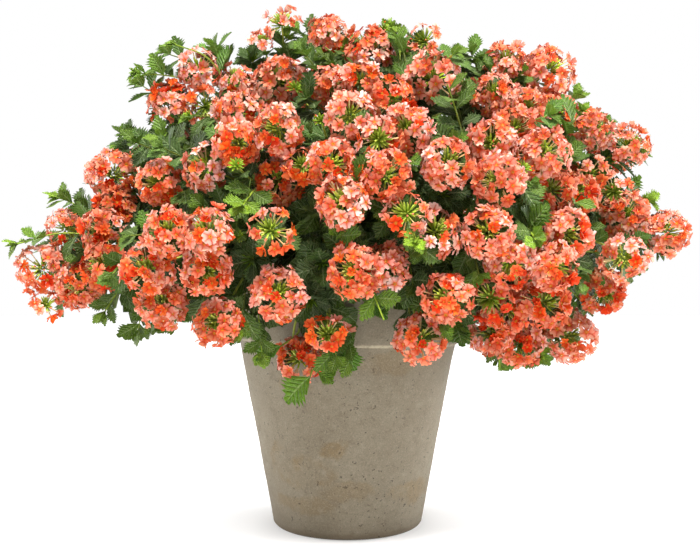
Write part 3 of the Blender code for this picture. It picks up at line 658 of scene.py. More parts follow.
dropped = 0
for k, g in enumerate(groups):
    pts, rad = trunks[k]
    node = names[k]
    for i in sorted(g, key=lambda i: -heads[i].r):
        h = heads[i]
        tip = h.p - h.axis * (0.30 * h.cad_r)
        below = h.p - h.axis * (0.58 * h.cad_r + 0.022)
        pr = PEDUNCLE_R if h.kind != "b" else PEDUNCLE_R * 0.85
        done = False
        for attempt in range(160):
            j = 0.0004 * attempt
            where = (6, 5, 6, 4, 5, 3)[attempt % 6] if attempt else (6 if rng.random() < 0.5 else 5)
            s = pts[where]
            jit = Vector((rng.uniform(-j, j), rng.uniform(-j, j), rng.uniform(-j, j)))
            mid = s.lerp(below, 0.5) + Vector((0, 0, 0.10 * (below - s).length)) + jit
            line = [s, mid.lerp(below, 0.45), tip]
            r0 = min(pr * 1.25, rad[where] * 0.86)
            v, f = tube(line, [r0, pr, pr * 0.9], 0.0004, sides=3)
            cand = Placed(node, v, f)
            if hits(cand, placed, skip=node) is not None:
                continue
            done = True
            break
        if not done:
            dropped += 1
            h.node = None
            for t in head_trees:
                if t.verts[0] == head_solid(h, 0.0004)[0][0]:
                    placed.remove(t)
                    break
            continue
        v, f = tube(line, [r0, pr, pr * 0.9], sides=3)
        placed.append(Placed(node, v, f))
        pieces[node].append((v, f))
        paths.append((node, line[:2], pr))
        pieces[node].append(head_solid(h))
        h.route = line
print("heads", len(heads), "dropped", dropped)
heads = [h for h in heads if h.node is not None]


# ---------------------------------------------------------------- leafy side shoots
def nearest_stem(p):
    best = None
    for node, pts, r in paths:
        for a, b in zip(pts, pts[1:]):
            ab = b - a
            t = min(max((p - a).dot(ab) / ab.length_squared, 0.15), 0.85)
            q = a + ab * t
            d = (p - q).length
            if best is None or d < best[0]:
                best = (d, q, ab.normalized(), r, node)
    return best


shoot_plan = []
for bx, by, tx, ty in SHOOTS:
    db, dt = sight(bx, by), sight(tx, ty)
    tb, tt = reach(db, 0.80), reach(dt, 1.0)
    base = EYE + db * (tb + 0.012)
    tip = EYE + dt * min(max(tt, tb - 0.03), tb + 0.03)
    shoot_plan.append((base, tip))
golden = math.pi * (3 - math.sqrt(5))
back_count = 60
for i in range(back_count):
    z = 1 - 2 * (i + 0.5) / back_count
    rr = math.sqrt(1 - z * z)
    a = golden * i + 0.6
    d = Vector((rr * math.cos(a), rr * math.sin(a), z * 0.8)).normalized()
    if d.y < 0.12 or d.z < -0.45:
        continue
    lo, hi = 0.02, 0.5
    core = Vector((0, 0, MID_Z))
    for _ in range(20):
        mid = (lo + hi) / 2
        if bulk(core + d * mid) < 1.0:
            lo = mid
        else:
            hi = mid
    tip = core + d * (lo - 0.008)
    base = core + d * (lo - 0.075) + Vector((0, 0, 0.004))
    if clear_of_pot(tip, 0.02) > 0.004 and clear_of_pot(base, 0.01) > 0.004:
        shoot_plan.append((base, tip))

shoot_pieces = []
shoot_routes = []
leaf_total = 0
for base, tip in shoot_plan:
    if len(shoot_pieces) >= SHOOT_COUNT:
        break
    node = "leafy_shoot_%02d" % (len(shoot_pieces) + 1)
    found = nearest_stem(base)
    d, q, along, r, parent = found
    for attempt in range(60):
        j = 0.0007 * attempt
        jit = Vector((rng.uniform(-j, j), rng.uniform(-j, j), rng.uniform(-j, j)))
        target = tip + jit
        lead = (target - q).normalized()
        side = lead - along * lead.dot(along)
        if side.length < 0.2:
            side = side + frame_of(along)[0] * 0.3
        side.normalize()
        s = q + side * (r + 0.0010 + SHOOT_R * 0.4)
        mid = s.lerp(target, 0.5) + Vector((0, 0, 0.10 * (target - s).length)) + side * 0.004 + jit * 0.6
        line = [s, mid, target]
        v, f = tube(line, [SHOOT_R, SHOOT_R, SHOOT_R * 0.7], 0.00025, side, sides=3)
        cand = Placed(node, v, f)
        if hits(cand, placed) is None and not any(inside_head(p, heads, None) for p in line):
            break
    else:
        continue
    v, f = tube(line, [SHOOT_R, SHOOT_R, SHOOT_R * 0.7], 0.0, side, sides=3)
    mine = [(v, f)]
    mine_placed = [Placed(node, v, f)]
    leaves = 0
    spots = ((1.0, 0, 0.020), (1.0, 2, 0.020), (0.74, 1, 0.026), (0.74, 3, 0.026), (0.46, 0, 0.030))
    for t, quarter, size in spots:
        seg = t * 2
        k0 = min(int(seg), 1)
        at = line[k0].lerp(line[k0 + 1], seg - k0)
        ahead = (line[k0 + 1] - line[k0]).normalized()
        x, y, _ = frame_of(ahead)
        a0 = quarter * math.pi / 2 + 0.5
        for attempt in range(26):
            a = a0 + rng.uniform(-0.05, 0.05) * attempt
            out = x * math.cos(a) + y * math.sin(a)
            lean = 0.75 if t < 1.0 else 1.3
            direction = (out + ahead * (lean + rng.uniform(-0.03, 0.03) * attempt) - Vector((0, 0, 0.12))).normalized()
            normal = (ahead - direction * ahead.dot(direction) + Vector((0, 0, 0.25))).normalized()
            if direction.cross(normal).length < 0.3:
                continue
            length = size * (1.0 - 0.012 * attempt) * rng.uniform(0.92, 1.08)
            width = length * 0.62
            b0 = at - direction * 0.0004
            v, f = leaf_solid(b0, direction, normal, length, width, 0.0004)
            cand = Placed(node, v, f)
            if hits(cand, placed) is None and not any(inside_head(p, heads, None) for p in v):
                v, f = leaf_solid(b0, direction, normal, length, width)
                mine.append((v, f))
                mine_placed.append(Placed(node, v, f))
                leaves += 1
                break
    if leaves < 2:
        continue
    leaf_total += leaves
    placed += mine_placed
    shoot_pieces.append((node, mine))
    shoot_routes.append((node, line))
print("stems", len(names), "shoots", len(shoot_pieces), "leaves", leaf_total)



# =====================================================================
# Looks
# =====================================================================
rnd = random.Random(2024)
nrng = np.random.RandomState(77)


def lin(r, g, b):
    """An sRGB colour, 0 to 255, as linear light."""
    out = []
    for c in (r, g, b):
        c /= 255.0
        out.append(c / 12.92 if c <= 0.04045 else ((c + 0.055) / 1.055) ** 2.4)
    return np.array(out)


# petal colours, from faded outer florets to new inner ones
PALE = lin(243, 203, 194)
SALMON = lin(238, 176, 156)
CORAL = lin(231, 147, 115)
ORANGE = lin(228, 110, 42)
RED = lin(208, 40, 20)
# leaf colours
LEAF_DARK = lin(42, 70, 18)
LEAF_MID = lin(74, 115, 29)
# painted sheen: the greyer green of leaves that face up
LEAF_PAINTED_SHEEN = lin(100, 132, 74)
LEAF_NEW = lin(142, 174, 34)
CALYX_NEW = lin(186, 206, 66)
CALYX_OLD = lin(112, 146, 24)
STALK = lin(138, 140, 62)
STALK_DARK = lin(92, 104, 48)
TUBE = lin(214, 196, 140)

M_PETAL, M_LEAF, M_STALK, M_CALYX = 0, 1, 2, 3


class Bag:
    """Everything one piece is made of: vertices, faces, a slot for each face, and for each
    vertex a surface coordinate, a tint and a cell of the piece's map."""

    def __init__(self):
        self.v, self.uv, self.c, self.e = [], [], [], []
        self.q, self.qm = [], []
        self.cells = []
        self.n = 0

    def add(self, verts, quads, uv, tint, slot, cell, cell_ids=None):
        """cell_ids gives the map cell of each vertex where one call adds several elements."""
        k = len(verts)
        self.v.append(verts)
        self.uv.append(uv)
        self.c.append(np.broadcast_to(tint, (k, 3)))
        self.q.append(quads + self.n)
        self.qm.append(np.full(len(quads), slot, np.int32))
        first = len(self.cells)
        if cell_ids is None:
            self.cells.append(cell)
            self.e.append(np.full(k, first, np.int32))
        else:
            self.cells += [cell] * (int(cell_ids.max()) + 1)
            self.e.append(cell_ids + first)
        self.n += k

    def take(self, other):
        """Everything of another bag."""
        first = len(self.cells)
        self.v += other.v
        self.uv += other.uv
        self.c += other.c
        self.q += [q + self.n for q in other.q]
        self.qm += other.qm
        self.e += [e + first for e in other.e]
        self.cells += other.cells
        self.n += other.n

    def cell_layout(self):
        """A square place on the map for each element, in rows by size."""
        sizes = np.array(self.cells, float)
        order = np.argsort(-sizes, kind="stable")
        side = math.sqrt((sizes ** 2).sum()) * 1.0
        while True:
            x = y = row = 0.0
            pos = np.zeros((len(sizes), 2))
            for i in order:
                s = sizes[i]
                if x + s > side + 1e-9:
                    x = 0.0
                    y += row
                    row = 0.0
                if row == 0.0:
                    row = s
                pos[i] = (x, y)
                x += s
            if y + row <= side + 1e-9:
                break
            side *= 1.01
        return pos / side, sizes / side

    def build(self, name, materials):
        v = np.concatenate(self.v)
        uv = np.concatenate(self.uv)
        c = np.concatenate(self.c)
        e = np.concatenate(self.e)
        q = np.concatenate(self.q).astype(np.int32)
        m = np.concatenate(self.qm)
        tri = q[:, 3] == q[:, 2]
        lens = np.where(tri, 3, 4).astype(np.int32)
        keep = np.ones(q.shape, bool)
        keep[tri, 3] = False
        loops = q[keep]
        starts = np.concatenate(([0], np.cumsum(lens)[:-1])).astype(np.int32)
        me = bpy.data.meshes.new(name)
        me.vertices.add(len(v))
        me.vertices.foreach_set("co", v.astype(np.float32).ravel())
        me.loops.add(len(loops))
        me.loops.foreach_set("vertex_index", loops)
        me.polygons.add(len(q))
        me.polygons.foreach_set("loop_start", starts)
        me.polygons.foreach_set("loop_total", lens)
        for mat in materials:
            me.materials.append(mat)
        me.polygons.foreach_set("material_index", m)
        layer = me.uv_layers.new(name="Surface")
        layer.data.foreach_set("uv", uv[loops].astype(np.float32).ravel())
        pos, size = self.cell_layout()
        atlas = pos[e] + (0.05 + 0.90 * np.clip(uv, 0, 1)) * size[e][:, None]
        layer2 = me.uv_layers.new(name="OFBake")
        layer2.data.foreach_set("uv", atlas[loops].astype(np.float32).ravel())
        col = me.color_attributes.new("tint", "FLOAT_COLOR", "POINT")
        rgba = np.ones((len(v), 4), np.float32)
        rgba[:, :3] = c
        col.data.foreach_set("color", rgba.ravel())
        me.update(calc_edges=True)
        me.validate()
        me.shade_smooth()
        ob = bpy.data.objects.new(name, me)
        bpy.context.scene.collection.objects.link(ob)
        return ob


def np3(v):
    return np.array((v[0], v[1], v[2]), float)


def unit(a):
    n = np.linalg.norm(a)
    return a / n if n > 1e-12 else np.array((0.0, 0.0, 1.0))


def basis(z, spin=0.0):
    """Columns x, y, z of a frame whose z is given."""
    z = unit(z)
    h = np.array((0.0, 0.0, 1.0)) if abs(z[2]) < 0.9 else np.array((1.0, 0.0, 0.0))
    x = unit(np.cross(h, z))
    y = np.cross(z, x)
    c, s = math.cos(spin), math.sin(spin)
    return np.stack([x * c + y * s, -x * s + y * c, z], axis=1)


def grid_quads(rows, cols):
    a = np.arange((rows - 1) * cols).reshape(rows - 1, cols)[:, :-1].ravel()
    return np.stack([a, a + 1, a + cols + 1, a + cols], axis=1)


# --------------------------------------------------------------------- florets
NU, NV = 5, 3


def petal_shape(length, width, bend, cup, ruffle, phase, notch):
    u = np.linspace(-1, 1, NU)[None, :]
    v = np.array((0.0, 0.60, 1.0))[:, None]
    w = width * np.array((0.14, 0.92, 1.0))[:, None]
    edge = 1 - 0.24 * np.abs(u) ** 2.2 * v ** 3 - notch * np.exp(-(u / 0.24) ** 2) * v ** 4
    x = u * w
    y = length * (0.06 + 0.94 * v * edge)
    z = -bend * length * v ** 2 + cup * length * np.sin(np.pi * v * 0.9)
    z = z + 0.10 * width * np.abs(u) ** 1.6 * (1.4 * v - 0.5)
    z = z + ruffle * length * np.sin(2.6 * u + phase) * v ** 2
    z = z + 0 * x
    verts = np.stack([x + 0 * y, y + 0 * x, z], axis=-1).reshape(-1, 3)
    uv = np.stack([np.broadcast_to((u + 1) / 2, (NV, NU)), np.broadcast_to(v, (NV, NU))], axis=-1).reshape(-1, 2)
    return verts, uv


def floret_variant(r, closed=0.0):
    """Five notched petals round a small throat, one unit across each petal's length."""
    vs, uvs, qs, ids = [], [], [], []
    quads = grid_quads(NV, NU)
    turn = r.uniform(0, 0.3)
    for j in range(5):
        a = 2 * math.pi * j / 5 + turn + r.uniform(-0.09, 0.09)
        length = 1.0 * r.uniform(0.86, 1.08)
        width = 0.480 * r.uniform(0.90, 1.10)
        bend = r.uniform(-0.20, 0.34) - closed
        p, uv = petal_shape(length, width, bend, r.uniform(0.02, 0.10), r.uniform(-0.09, 0.09), r.uniform(0, 6.28), r.uniform(0.20, 0.36))
        twist = r.uniform(-0.50, 0.50)
        ct, st = math.cos(twist), math.sin(twist)
        p = np.stack([p[:, 0] * ct + p[:, 2] * st, p[:, 1], -p[:, 0] * st + p[:, 2] * ct], axis=1)
        p[:, 2] += (j % 2) * 0.06 + r.uniform(0, 0.04)
        ca, sa = math.cos(a), math.sin(a)
        p = np.stack([p[:, 0] * ca - p[:, 1] * sa, p[:, 0] * sa + p[:, 1] * ca, p[:, 2]], axis=1)
        vs.append(p)
        uvs.append(uv)
        qs.append(quads + NV * NU * j)
        ids.append(np.full(NV * NU, j))
    return np.concatenate(vs), np.concatenate(uvs), np.concatenate(qs), np.concatenate(ids)


FLORETS = [floret_variant(random.Random(100 + i)) for i in range(30)]
CUPPED = [floret_variant(random.Random(300 + i), closed=0.60) for i in range(10)]


petal_rnd = random.Random(31)


def add_floret(bag, centre, normal, radius, spin, tint, variant):
    v, uv, q, ids = variant
    f = basis(normal, spin)
    w = centre + (v * radius) @ f.T
    each = np.array([petal_rnd.uniform(0.74, 1.12) for _ in range(5)])
    deep = np.array([petal_rnd.uniform(0.72, 1.14) for _ in range(5)])
    shade = np.stack([each, each * deep, each * deep], axis=1)[ids]
    t = np.clip(tint[None, :] * shade, 0, 1)
    bag.add(w, q, uv, t, M_PETAL, 2.0, ids)


def add_tube(bag, points, radii, sides, tint, slot, cell, tint_end=None):
    """A round stalk along a path."""
    p = np.asarray(points, float)
    n = len(p)
    t = np.empty_like(p)
    t[1:-1] = p[2:] - p[:-2]
    t[0] = p[1] - p[0]
    t[-1] = p[-1] - p[-2]
    t /= np.maximum(np.linalg.norm(t, axis=1), 1e-12)[:, None]
    f = basis(t[0])
    x = f[:, 0]
    verts = np.empty((n, sides + 1, 3))
    ang = np.arange(sides + 1) * 2 * math.pi / sides
    for i in range(n):
        x = unit(x - t[i] * np.dot(x, t[i]))
        y = np.cross(t[i], x)
        verts[i] = p[i] + radii[i] * (np.cos(ang)[:, None] * x + np.sin(ang)[:, None] * y)
    uv = np.stack(np.meshgrid(np.arange(sides + 1) / sides, np.linspace(0, 1, n)), axis=-1).reshape(-1, 2)
    tt = tint if tint_end is None else tint[None, :] + (tint_end - tint)[None, :] * uv[:, 1:2]
    bag.add(verts.reshape(-1, 3), grid_quads(n, sides + 1), uv, tt, slot, cell)


def add_calyx(bag, base, direction, length, width, tint, tip_tint, sides=4):
    """A slim ribbed calyx: narrow at the base, full in the middle, open and pointed at the tip."""
    d = unit(direction)
    pts = [base, base + d * length * 0.55, base + d * length * 0.88, base + d * length]
    add_tube(bag, pts, [width * 0.50, width, width * 0.80, width * 0.15], sides, tint, M_CALYX, 1.0, tip_tint)


# --------------------------------------------------------------------- leaves
TEETH = 6
FINE = (2 * TEETH + 1, np.array((0.0, 0.62, 1.0)))
PLAIN = (TEETH + 1, np.array((0.0, 0.55, 1.0)))


def leaf_variant(r, grade):
    """A toothed blade one unit long: y runs along the midrib, z is the upper side."""
    stations, cols = grade
    fine = grade is FINE
    ratio = r.uniform(0.29, 0.36)
    depth = r.uniform(0.17, 0.27)
    fold = r.uniform(0.08, 0.42)
    curl = r.uniform(-0.02, 0.26)
    sway = r.uniform(-0.12, 0.12)
    quilt = r.uniform(0.008, 0.014)
    wave = r.uniform(0.0, 0.03)
    wph = r.uniform(0, 6.28)
    rows = []
    for s in range(stations):
        t = s / (stations - 1)
        half = ratio * math.sin(math.pi * t ** 0.64) ** 0.78 if 0 < t < 1 else 0.0
        tip = s % 2 == 1 if fine else False
        row = []
        for side in (-1, 1):
            pts = []
            for c in cols:
                h = half * c
                along = 0.09 + 0.91 * t
                if fine and c == 1.0:
                    h = half * (1.0 + (depth if tip else -depth))
                    along += 0.046 if tip else -0.026
                elif fine and c > 0.7:
                    h = half * c * (1.0 + (depth * 0.20 if tip else -depth * 0.25))
                elif c == 1.0:
                    h = half * 0.92 * (1.0 + (depth * 0.34 if s % 2 else -depth * 0.34))
                along += 0.33 * c * (1 - t) ** 0.9 * (half / ratio)
                if s == 0:
                    h, along = 0.010 * c, 0.0
                if s == stations - 1:
                    h, along = 0.004 * c, 1.0
                z = fold * h
                if fine and 0 < c < 1 and 0 < s < stations - 1:
                    z += quilt * (1.0 if not tip else -0.9)
                z -= curl * along ** 2
                z += wave * math.sin(9 * along + wph) * c
                x = side * h + sway * along ** 2
                pts.append((x, along, z))
            row.append(pts)
        rows.append(row[0][::-1] + row[1][1:])
    verts = np.array(rows, float)
    across = np.concatenate([-cols[::-1], cols[1:]])
    uv = np.stack(np.meshgrid((across + 1) / 2, np.linspace(0, 1, stations)), axis=-1)
    quads = grid_quads(stations, len(across))
    return verts.reshape(-1, 3), uv.reshape(-1, 2), quads


LEAVES = [leaf_variant(random.Random(500 + i), FINE) for i in range(18)]
INNER_LEAVES = [leaf_variant(random.Random(600 + i), PLAIN) for i in range(8)]
CORE = (5, np.array((0.0, 1.0)))
CORE_LEAVES = [leaf_variant(random.Random(700 + i), CORE) for i in range(6)]


def add_leaf(bag, base, along, normal, length, tint, variant, widen=1.0):
    v, uv, q = variant
    y = unit(along)
    x = unit(np.cross(y, normal))
    z = np.cross(x, y)
    f = np.stack([x, y, z], axis=1)
    w = v * np.array((widen, 1.0, 1.0))
    bag.add(base + (w * length) @ f.T, q, uv, tint, M_LEAF, 6.0)


def leaf_tint(r, new=0.0, up=0.5):
    a = r.random()
    t = LEAF_DARK * (1 - a) + LEAF_MID * a
    # painted sheen: leaves facing up are mixed towards a greyer green
    g = max(up - 0.25, 0.0) * r.uniform(0.1, 0.85)
    t = t * (1 - g) + LEAF_PAINTED_SHEEN * g
    t = t * (1 - new) + LEAF_NEW * new
    return t * r.uniform(0.85, 1.15)


def catmull(points, per):
    """A smooth path through the points."""
    p = [np3(q) for q in points]
    p = [2 * p[0] - p[1]] + p + [2 * p[-1] - p[-2]]
    out = []
    for i in range(1, len(p) - 2):
        for k in range(per):
            t = k / per
            a, b, c, d = p[i - 1], p[i], p[i + 1], p[i + 2]
            out.append(0.5 * ((2 * b) + (-a + c) * t + (2 * a - 5 * b + 4 * c - d) * t * t + (-a + 3 * b - 3 * c + d) * t ** 3))
    out.append(p[-2])
    return np.array(out)


HEAD_P = np.array([np3(h.p) for h in heads])
HEAD_A = np.array([np3(h.axis) for h in heads])
HEAD_R = np.array([h.r for h in heads])


FRONT = [h for h in heads if h.fixed and h.kind in "moy"]
FRONT_VIEW = np.array([on_view(h.p) + (h.r * EYE_F / (h.p - EYE).length, (h.p - EYE).length) for h in FRONT])


def covers_front_head(p):
    """Whether a point hangs before a flower head of the front."""
    v = Vector(p)
    if v.y > 0.02:
        return False
    x, y = on_view(v)
    far = (v - EYE).length
    d = np.hypot(FRONT_VIEW[:, 0] - x, FRONT_VIEW[:, 1] - y)
    return bool(((d < FRONT_VIEW[:, 2] * 0.90) & (far < FRONT_VIEW[:, 3] + 0.010)).any())


def leaf_in_head(tip, mid, own=None):
    """Whether a leaf would stand in or before a flower head."""
    for q in (tip, mid):
        d = q - HEAD_P
        a = (d * HEAD_A).sum(1)
        rr = np.linalg.norm(d - HEAD_A * a[:, None], axis=1)
        if ((rr < HEAD_R * 0.92) & (a > -0.35 * HEAD_R) & (a < 2.2 * HEAD_R)).any():
            return True
    return False


def openness(p, low=0.60, high=0.96):
    """1 at the mound's surface, 0 deep between the stems."""
    return min(max((bulk(Vector(p)) - low) / (high - low), 0.0), 1.0)


leaf_count = [0, 0, 0]


def try_leaf(bag, base, stem_dir, side, length, r, new=0.0, limit=0.96, lean=0.55, beyond=0.0):
    """A leaf that faces outwards and upwards and keeps clear of the flower heads."""
    p = Vector(base)
    out = np3(outward(p))
    up = np.array((0.0, 0.0, 1.0))
    for attempt in range(5):
        jit = np.array((r.uniform(-1, 1), r.uniform(-1, 1), r.uniform(-1, 1))) * (0.16 + 0.16 * attempt)
        along = unit(side + stem_dir * lean + out * 0.25 - up * 0.10 + jit)
        normal = out * 0.65 + up * 0.50 + stem_dir * 0.20 + jit * 0.45
        normal[1] += 0.55 if base[1] > 0.03 else -0.55
        normal = normal - along * np.dot(normal, along)
        if np.linalg.norm(normal) < 0.15:
            continue
        normal = unit(normal)
        size = length * (1 - 0.09 * attempt)
        tip = base + along * size
        mid = base + along * size * 0.5
        if leaf_in_head(tip, mid):
            continue
        if bulk(Vector(tip)) > limit:
            continue
        if covers_front_head(tip) or covers_front_head(mid):
            continue
        tv = Vector(tip)
        if clear_of_pot(tv, 0.001) < 0.002 and tip[2] < RIM_Z + 0.004:
            continue
        if clear_of_pot(Vector(mid), 0.001) < 0.002 and mid[2] < RIM_Z + 0.004:
            continue
        vx, vy = on_view(tv)
        if not inside_outline(vx, vy, 0.0) and (beyond == 0.0 or not inside_outline(vx + (350 - vx) * beyond, vy + (230 - vy) * beyond, 0.0)):
            continue
        deep = bulk(Vector(mid)) < (0.68 if mid[1] < 0.05 else 0.60)
        kinds = INNER_LEAVES if deep else LEAVES
        # painted shade: leaves deep in the mound are darker and less blue
        k = openness(mid)
        shade = np.array((0.40 + 0.88 * k, 0.36 + 0.92 * k, 0.02 + 1.04 * k))
        add_leaf(bag, base, along, normal, size, leaf_tint(r, new, normal[2]) * shade, kinds[r.randrange(len(kinds))], r.uniform(0.92, 1.18))
        leaf_count[1 if deep else 0] += 1
        return True
    return False


# --------------------------------------------------------------------- one flower head
def tone_colour(s):
    """From pale at 0 through salmon and coral to orange red at 1."""
    stops = (PALE, SALMON, CORAL, ORANGE)
    s = min(max(s, 0.0), 0.999) * 3
    i = int(s)
    return stops[i] * (1 - (s - i)) + stops[i + 1] * (s - i)


def shaken(r, amount):
    return np.array((r.uniform(-1, 1), r.uniform(-1, 1), r.uniform(-1, 1))) * amount


def add_bud(bag, at, d, size, tint):
    """A closed bud: a small drop of folded petals."""
    add_tube(bag, [at, at + d * size * 0.5, at + d * size * 1.1, at + d * size * 1.5],
             [size * 0.26, size * 0.42, size * 0.40, size * 0.10], 5, tint, M_PETAL, 0.7)


def add_head(bag, h, r):
    p, axis, R = np3(h.p), np3(h.axis), h.r
    O = p - axis * (0.47 * R)
    if h.tilt is not None:
        # the florets open towards the side on which the calyces show
        ax, az = h.tilt
        m_ = math.hypot(ax, az)
        k_ = min(2.1, 0.84 / max(m_, 1e-6))
        ax, az = ax * k_, az * k_
        ay = math.sqrt(max(1 - ax * ax - az * az, 0.0))
        facing = np.array((ax, 0.0, az)) - np3(h.d) * ay
        axis = unit(unit(facing) * 0.86 + np3(outward(h.p)) * 0.14)
    f = basis(axis, r.uniform(0, 6.28))
    kind = h.kind
    tone = h.tone

    def direction(theta, phi):
        return f @ np.array((math.sin(theta) * math.cos(phi), math.sin(theta) * math.sin(phi), math.cos(theta)))

    def shade_at(q, down):
        """Painted shade and light: petals deep in the mound, or facing down, are darker and more orange; petals high
        up, or on low heads at the front, are kept light.
        """
        k = max(openness(q, 0.54, 0.82), min(max((q[2] - 0.36) / 0.12, 0.0), 0.85))
        if p[1] < -0.05 and p[2] < 0.23:
            k = max(k, 0.92)
        low = np.array((0.50, 0.32, 0.09))
        t = low + (1 - low) * k
        return t * (1 - max(down, 0.0) * np.array((0.10, 0.26, 0.42)))

    def open_floret(theta, phi, reach_, size, s, jolt, variants, stalks=2):
        d = direction(theta, phi)
        centre = O + d * (reach_ * R)
        normal = unit(d * 0.85 + axis * 0.22 + shaken(r, jolt))
        # painted light: florets facing up, and heads set higher, get a paler tone; florets facing down a more orange
        # one
        s = s + 0.02 - 0.14 * normal[2] - min(max(0.7 * (p[2] - 0.32), -0.05), 0.14)
        tint = tone_colour(s) * r.uniform(0.88, 1.06)
        if s > 1.14:
            tint = RED * 0.6 + ORANGE * 0.4
        # painted shade from shade_at; florets facing up are darkened too, to temper the overhead lamp
        tint = tint * shade_at(centre, -normal[2]) * (1 - max(normal[2], 0.0) * np.array((0.24, 0.32, 0.34)))
        # a floret that sits low lies in the shade of its neighbours
        under = min(max((0.96 - reach_) / 0.12, 0.0), 1.0)
        tint = tint * (1 - under * np.array((0.20, 0.40, 0.52)))
        add_floret(bag, centre, normal, size, r.uniform(0, 6.28), tint, variants[r.randrange(len(variants))])
        b = O + d * 0.50 * R
        if stalks > 1:
            add_tube(bag, [O + d * 0.16 * R, b], [0.0006, 0.0010], 3, CALYX_OLD, M_CALYX, 0.7, CALYX_NEW)
        add_tube(bag, [b - d * 0.001, centre - normal * 0.0005], [0.00050, 0.00075], 3, TUBE, M_CALYX, 0.7, tint * 0.5 + TUBE * 0.5)

    if kind == "h" and 150 < on_view(h.p)[0] < 460:
        # a head still to open: a tuft of leaves round a few calyces, with leaves and calyces painted dark as shade
        for i in range(13):
            rr = math.sqrt((i + 0.8) / 13)
            phi = 2.39996 * i + r.uniform(-0.3, 0.3)
            d = direction(math.radians(100) * rr, phi)
            flat = unit(axis * math.sin(math.radians(100) * rr) - f @ np.array((math.cos(phi), math.sin(phi), 0.0)) * math.cos(math.radians(100) * rr) + shaken(r, 0.3))
            along = unit(d + shaken(r, 0.25))
            side_ = flat - along * np.dot(flat, along)
            face = unit(side_) if np.linalg.norm(side_) > 0.1 else flat
            tint = (LEAF_DARK * 0.7 + LEAF_MID * 0.3) * r.uniform(0.34, 0.70) * np.array((1.0, 1.0, 0.7))
            add_leaf(bag, O + d * 0.05 * R, along, face, R * r.uniform(0.90, 1.20), tint, LEAVES[r.randrange(len(LEAVES))], 1.1)
        for i in range(10):
            rr = math.sqrt((i + 0.5) / 10)
            d = unit(direction(math.radians(40) * rr, 2.4 * i) + shaken(r, 0.1))
            add_calyx(bag, O, d, R * r.uniform(0.45, 0.65), 0.0009, CALYX_OLD * 0.4, CALYX_OLD * 0.8, 3)
    elif kind in "moh":
        hollow = r.uniform(0.0, 1.0)
        fl = 0.290 * R
        # the tone shift is largest in the new inner ring; the lowest ring, on the head's underside, is a little more
        # orange than the ring above it as painted shade
        rings = [(7, 29 + 8 * hollow, 0.95, 0.36, 0.12, 2), (10, 53 + 5 * hollow, 0.96, 0.12, 0.03, 2),
                 (12, 77 + hollow, 0.95, -0.06, 0.04, 1), (9, 99, 0.90, 0.04, 0.10, 1)]
        if kind == "o":
            rings = [(6, 34 + 5 * hollow, 0.98, 0.28, 0.20, 2), (9, 57 + 3 * hollow, 0.98, 0.00, 0.06, 2),
                     (11, 80, 0.95, -0.12, 0.08, 2), (6, 99, 0.92, -0.02, 0.12, 1)]
            fl = 0.292 * R
        for n, th, reach_, dt, skip, stalks in rings:
            phase = r.uniform(0, 6.28)
            for i in range(n):
                if r.random() < skip:
                    continue
                phi = phase + 2 * math.pi * (i + r.uniform(-0.26, 0.26)) / n
                theta = math.radians(th + r.uniform(-7, 7))
                sfl = tone + dt + r.uniform(-0.24, 0.22)
                if r.random() < 0.10:
                    sfl += 0.60
                pick = CUPPED if (th < 42 and r.random() < 0.35) or r.random() < 0.06 else FLORETS
                open_floret(theta, phi, reach_ * r.uniform(0.88, 1.06), fl * r.uniform(0.88, 1.12), sfl, 0.34, pick, stalks)
        # newly opening florets round the calyces
        for i in range(r.choice((1, 2, 3, 4)) if kind == "m" else r.choice((0, 1, 2))):
            open_floret(math.radians(r.uniform(16, 30)), r.uniform(0, 6.28), r.uniform(0.90, 1.02), fl * r.uniform(0.60, 0.85), 0.98 + r.uniform(-0.2, 0.3), 0.35, CUPPED)
        n = 22
        # painted light: calyces near the mound's surface are lighter, those deep in it darker
        painted_light = 0.60 + 0.55 * openness(p)
        for i in range(n):
            rr = math.sqrt((i + 0.5) / n)
            phi = 2.39996 * i + r.uniform(-0.25, 0.25)
            d = unit(direction(math.radians(31) * rr, phi) + shaken(r, 0.08))
            top = R * (0.82 - 0.10 * rr) * r.uniform(0.86, 1.08)
            base = O + d * 0.30 * R
            kind_ = r.random()
            bright = r.uniform(0.80, 1.30) * painted_light
            tip = (CALYX_NEW * 0.9 + TUBE * 0.2 if kind_ > 0.3 else TUBE * 0.7 + CALYX_NEW * 0.4) * bright
            add_calyx(bag, base, unit(d + shaken(r, 0.12)), top - 0.30 * R, 0.00098 * r.uniform(0.8, 1.15), CALYX_OLD * 0.95 * bright, np.minimum(tip, 0.95), 3)
            if kind_ < 0.07:
                add_bud(bag, O + d * top * 0.97, d, 0.0020, ORANGE * 0.7 + SALMON * 0.3)
    elif kind == "y":
        n = 32
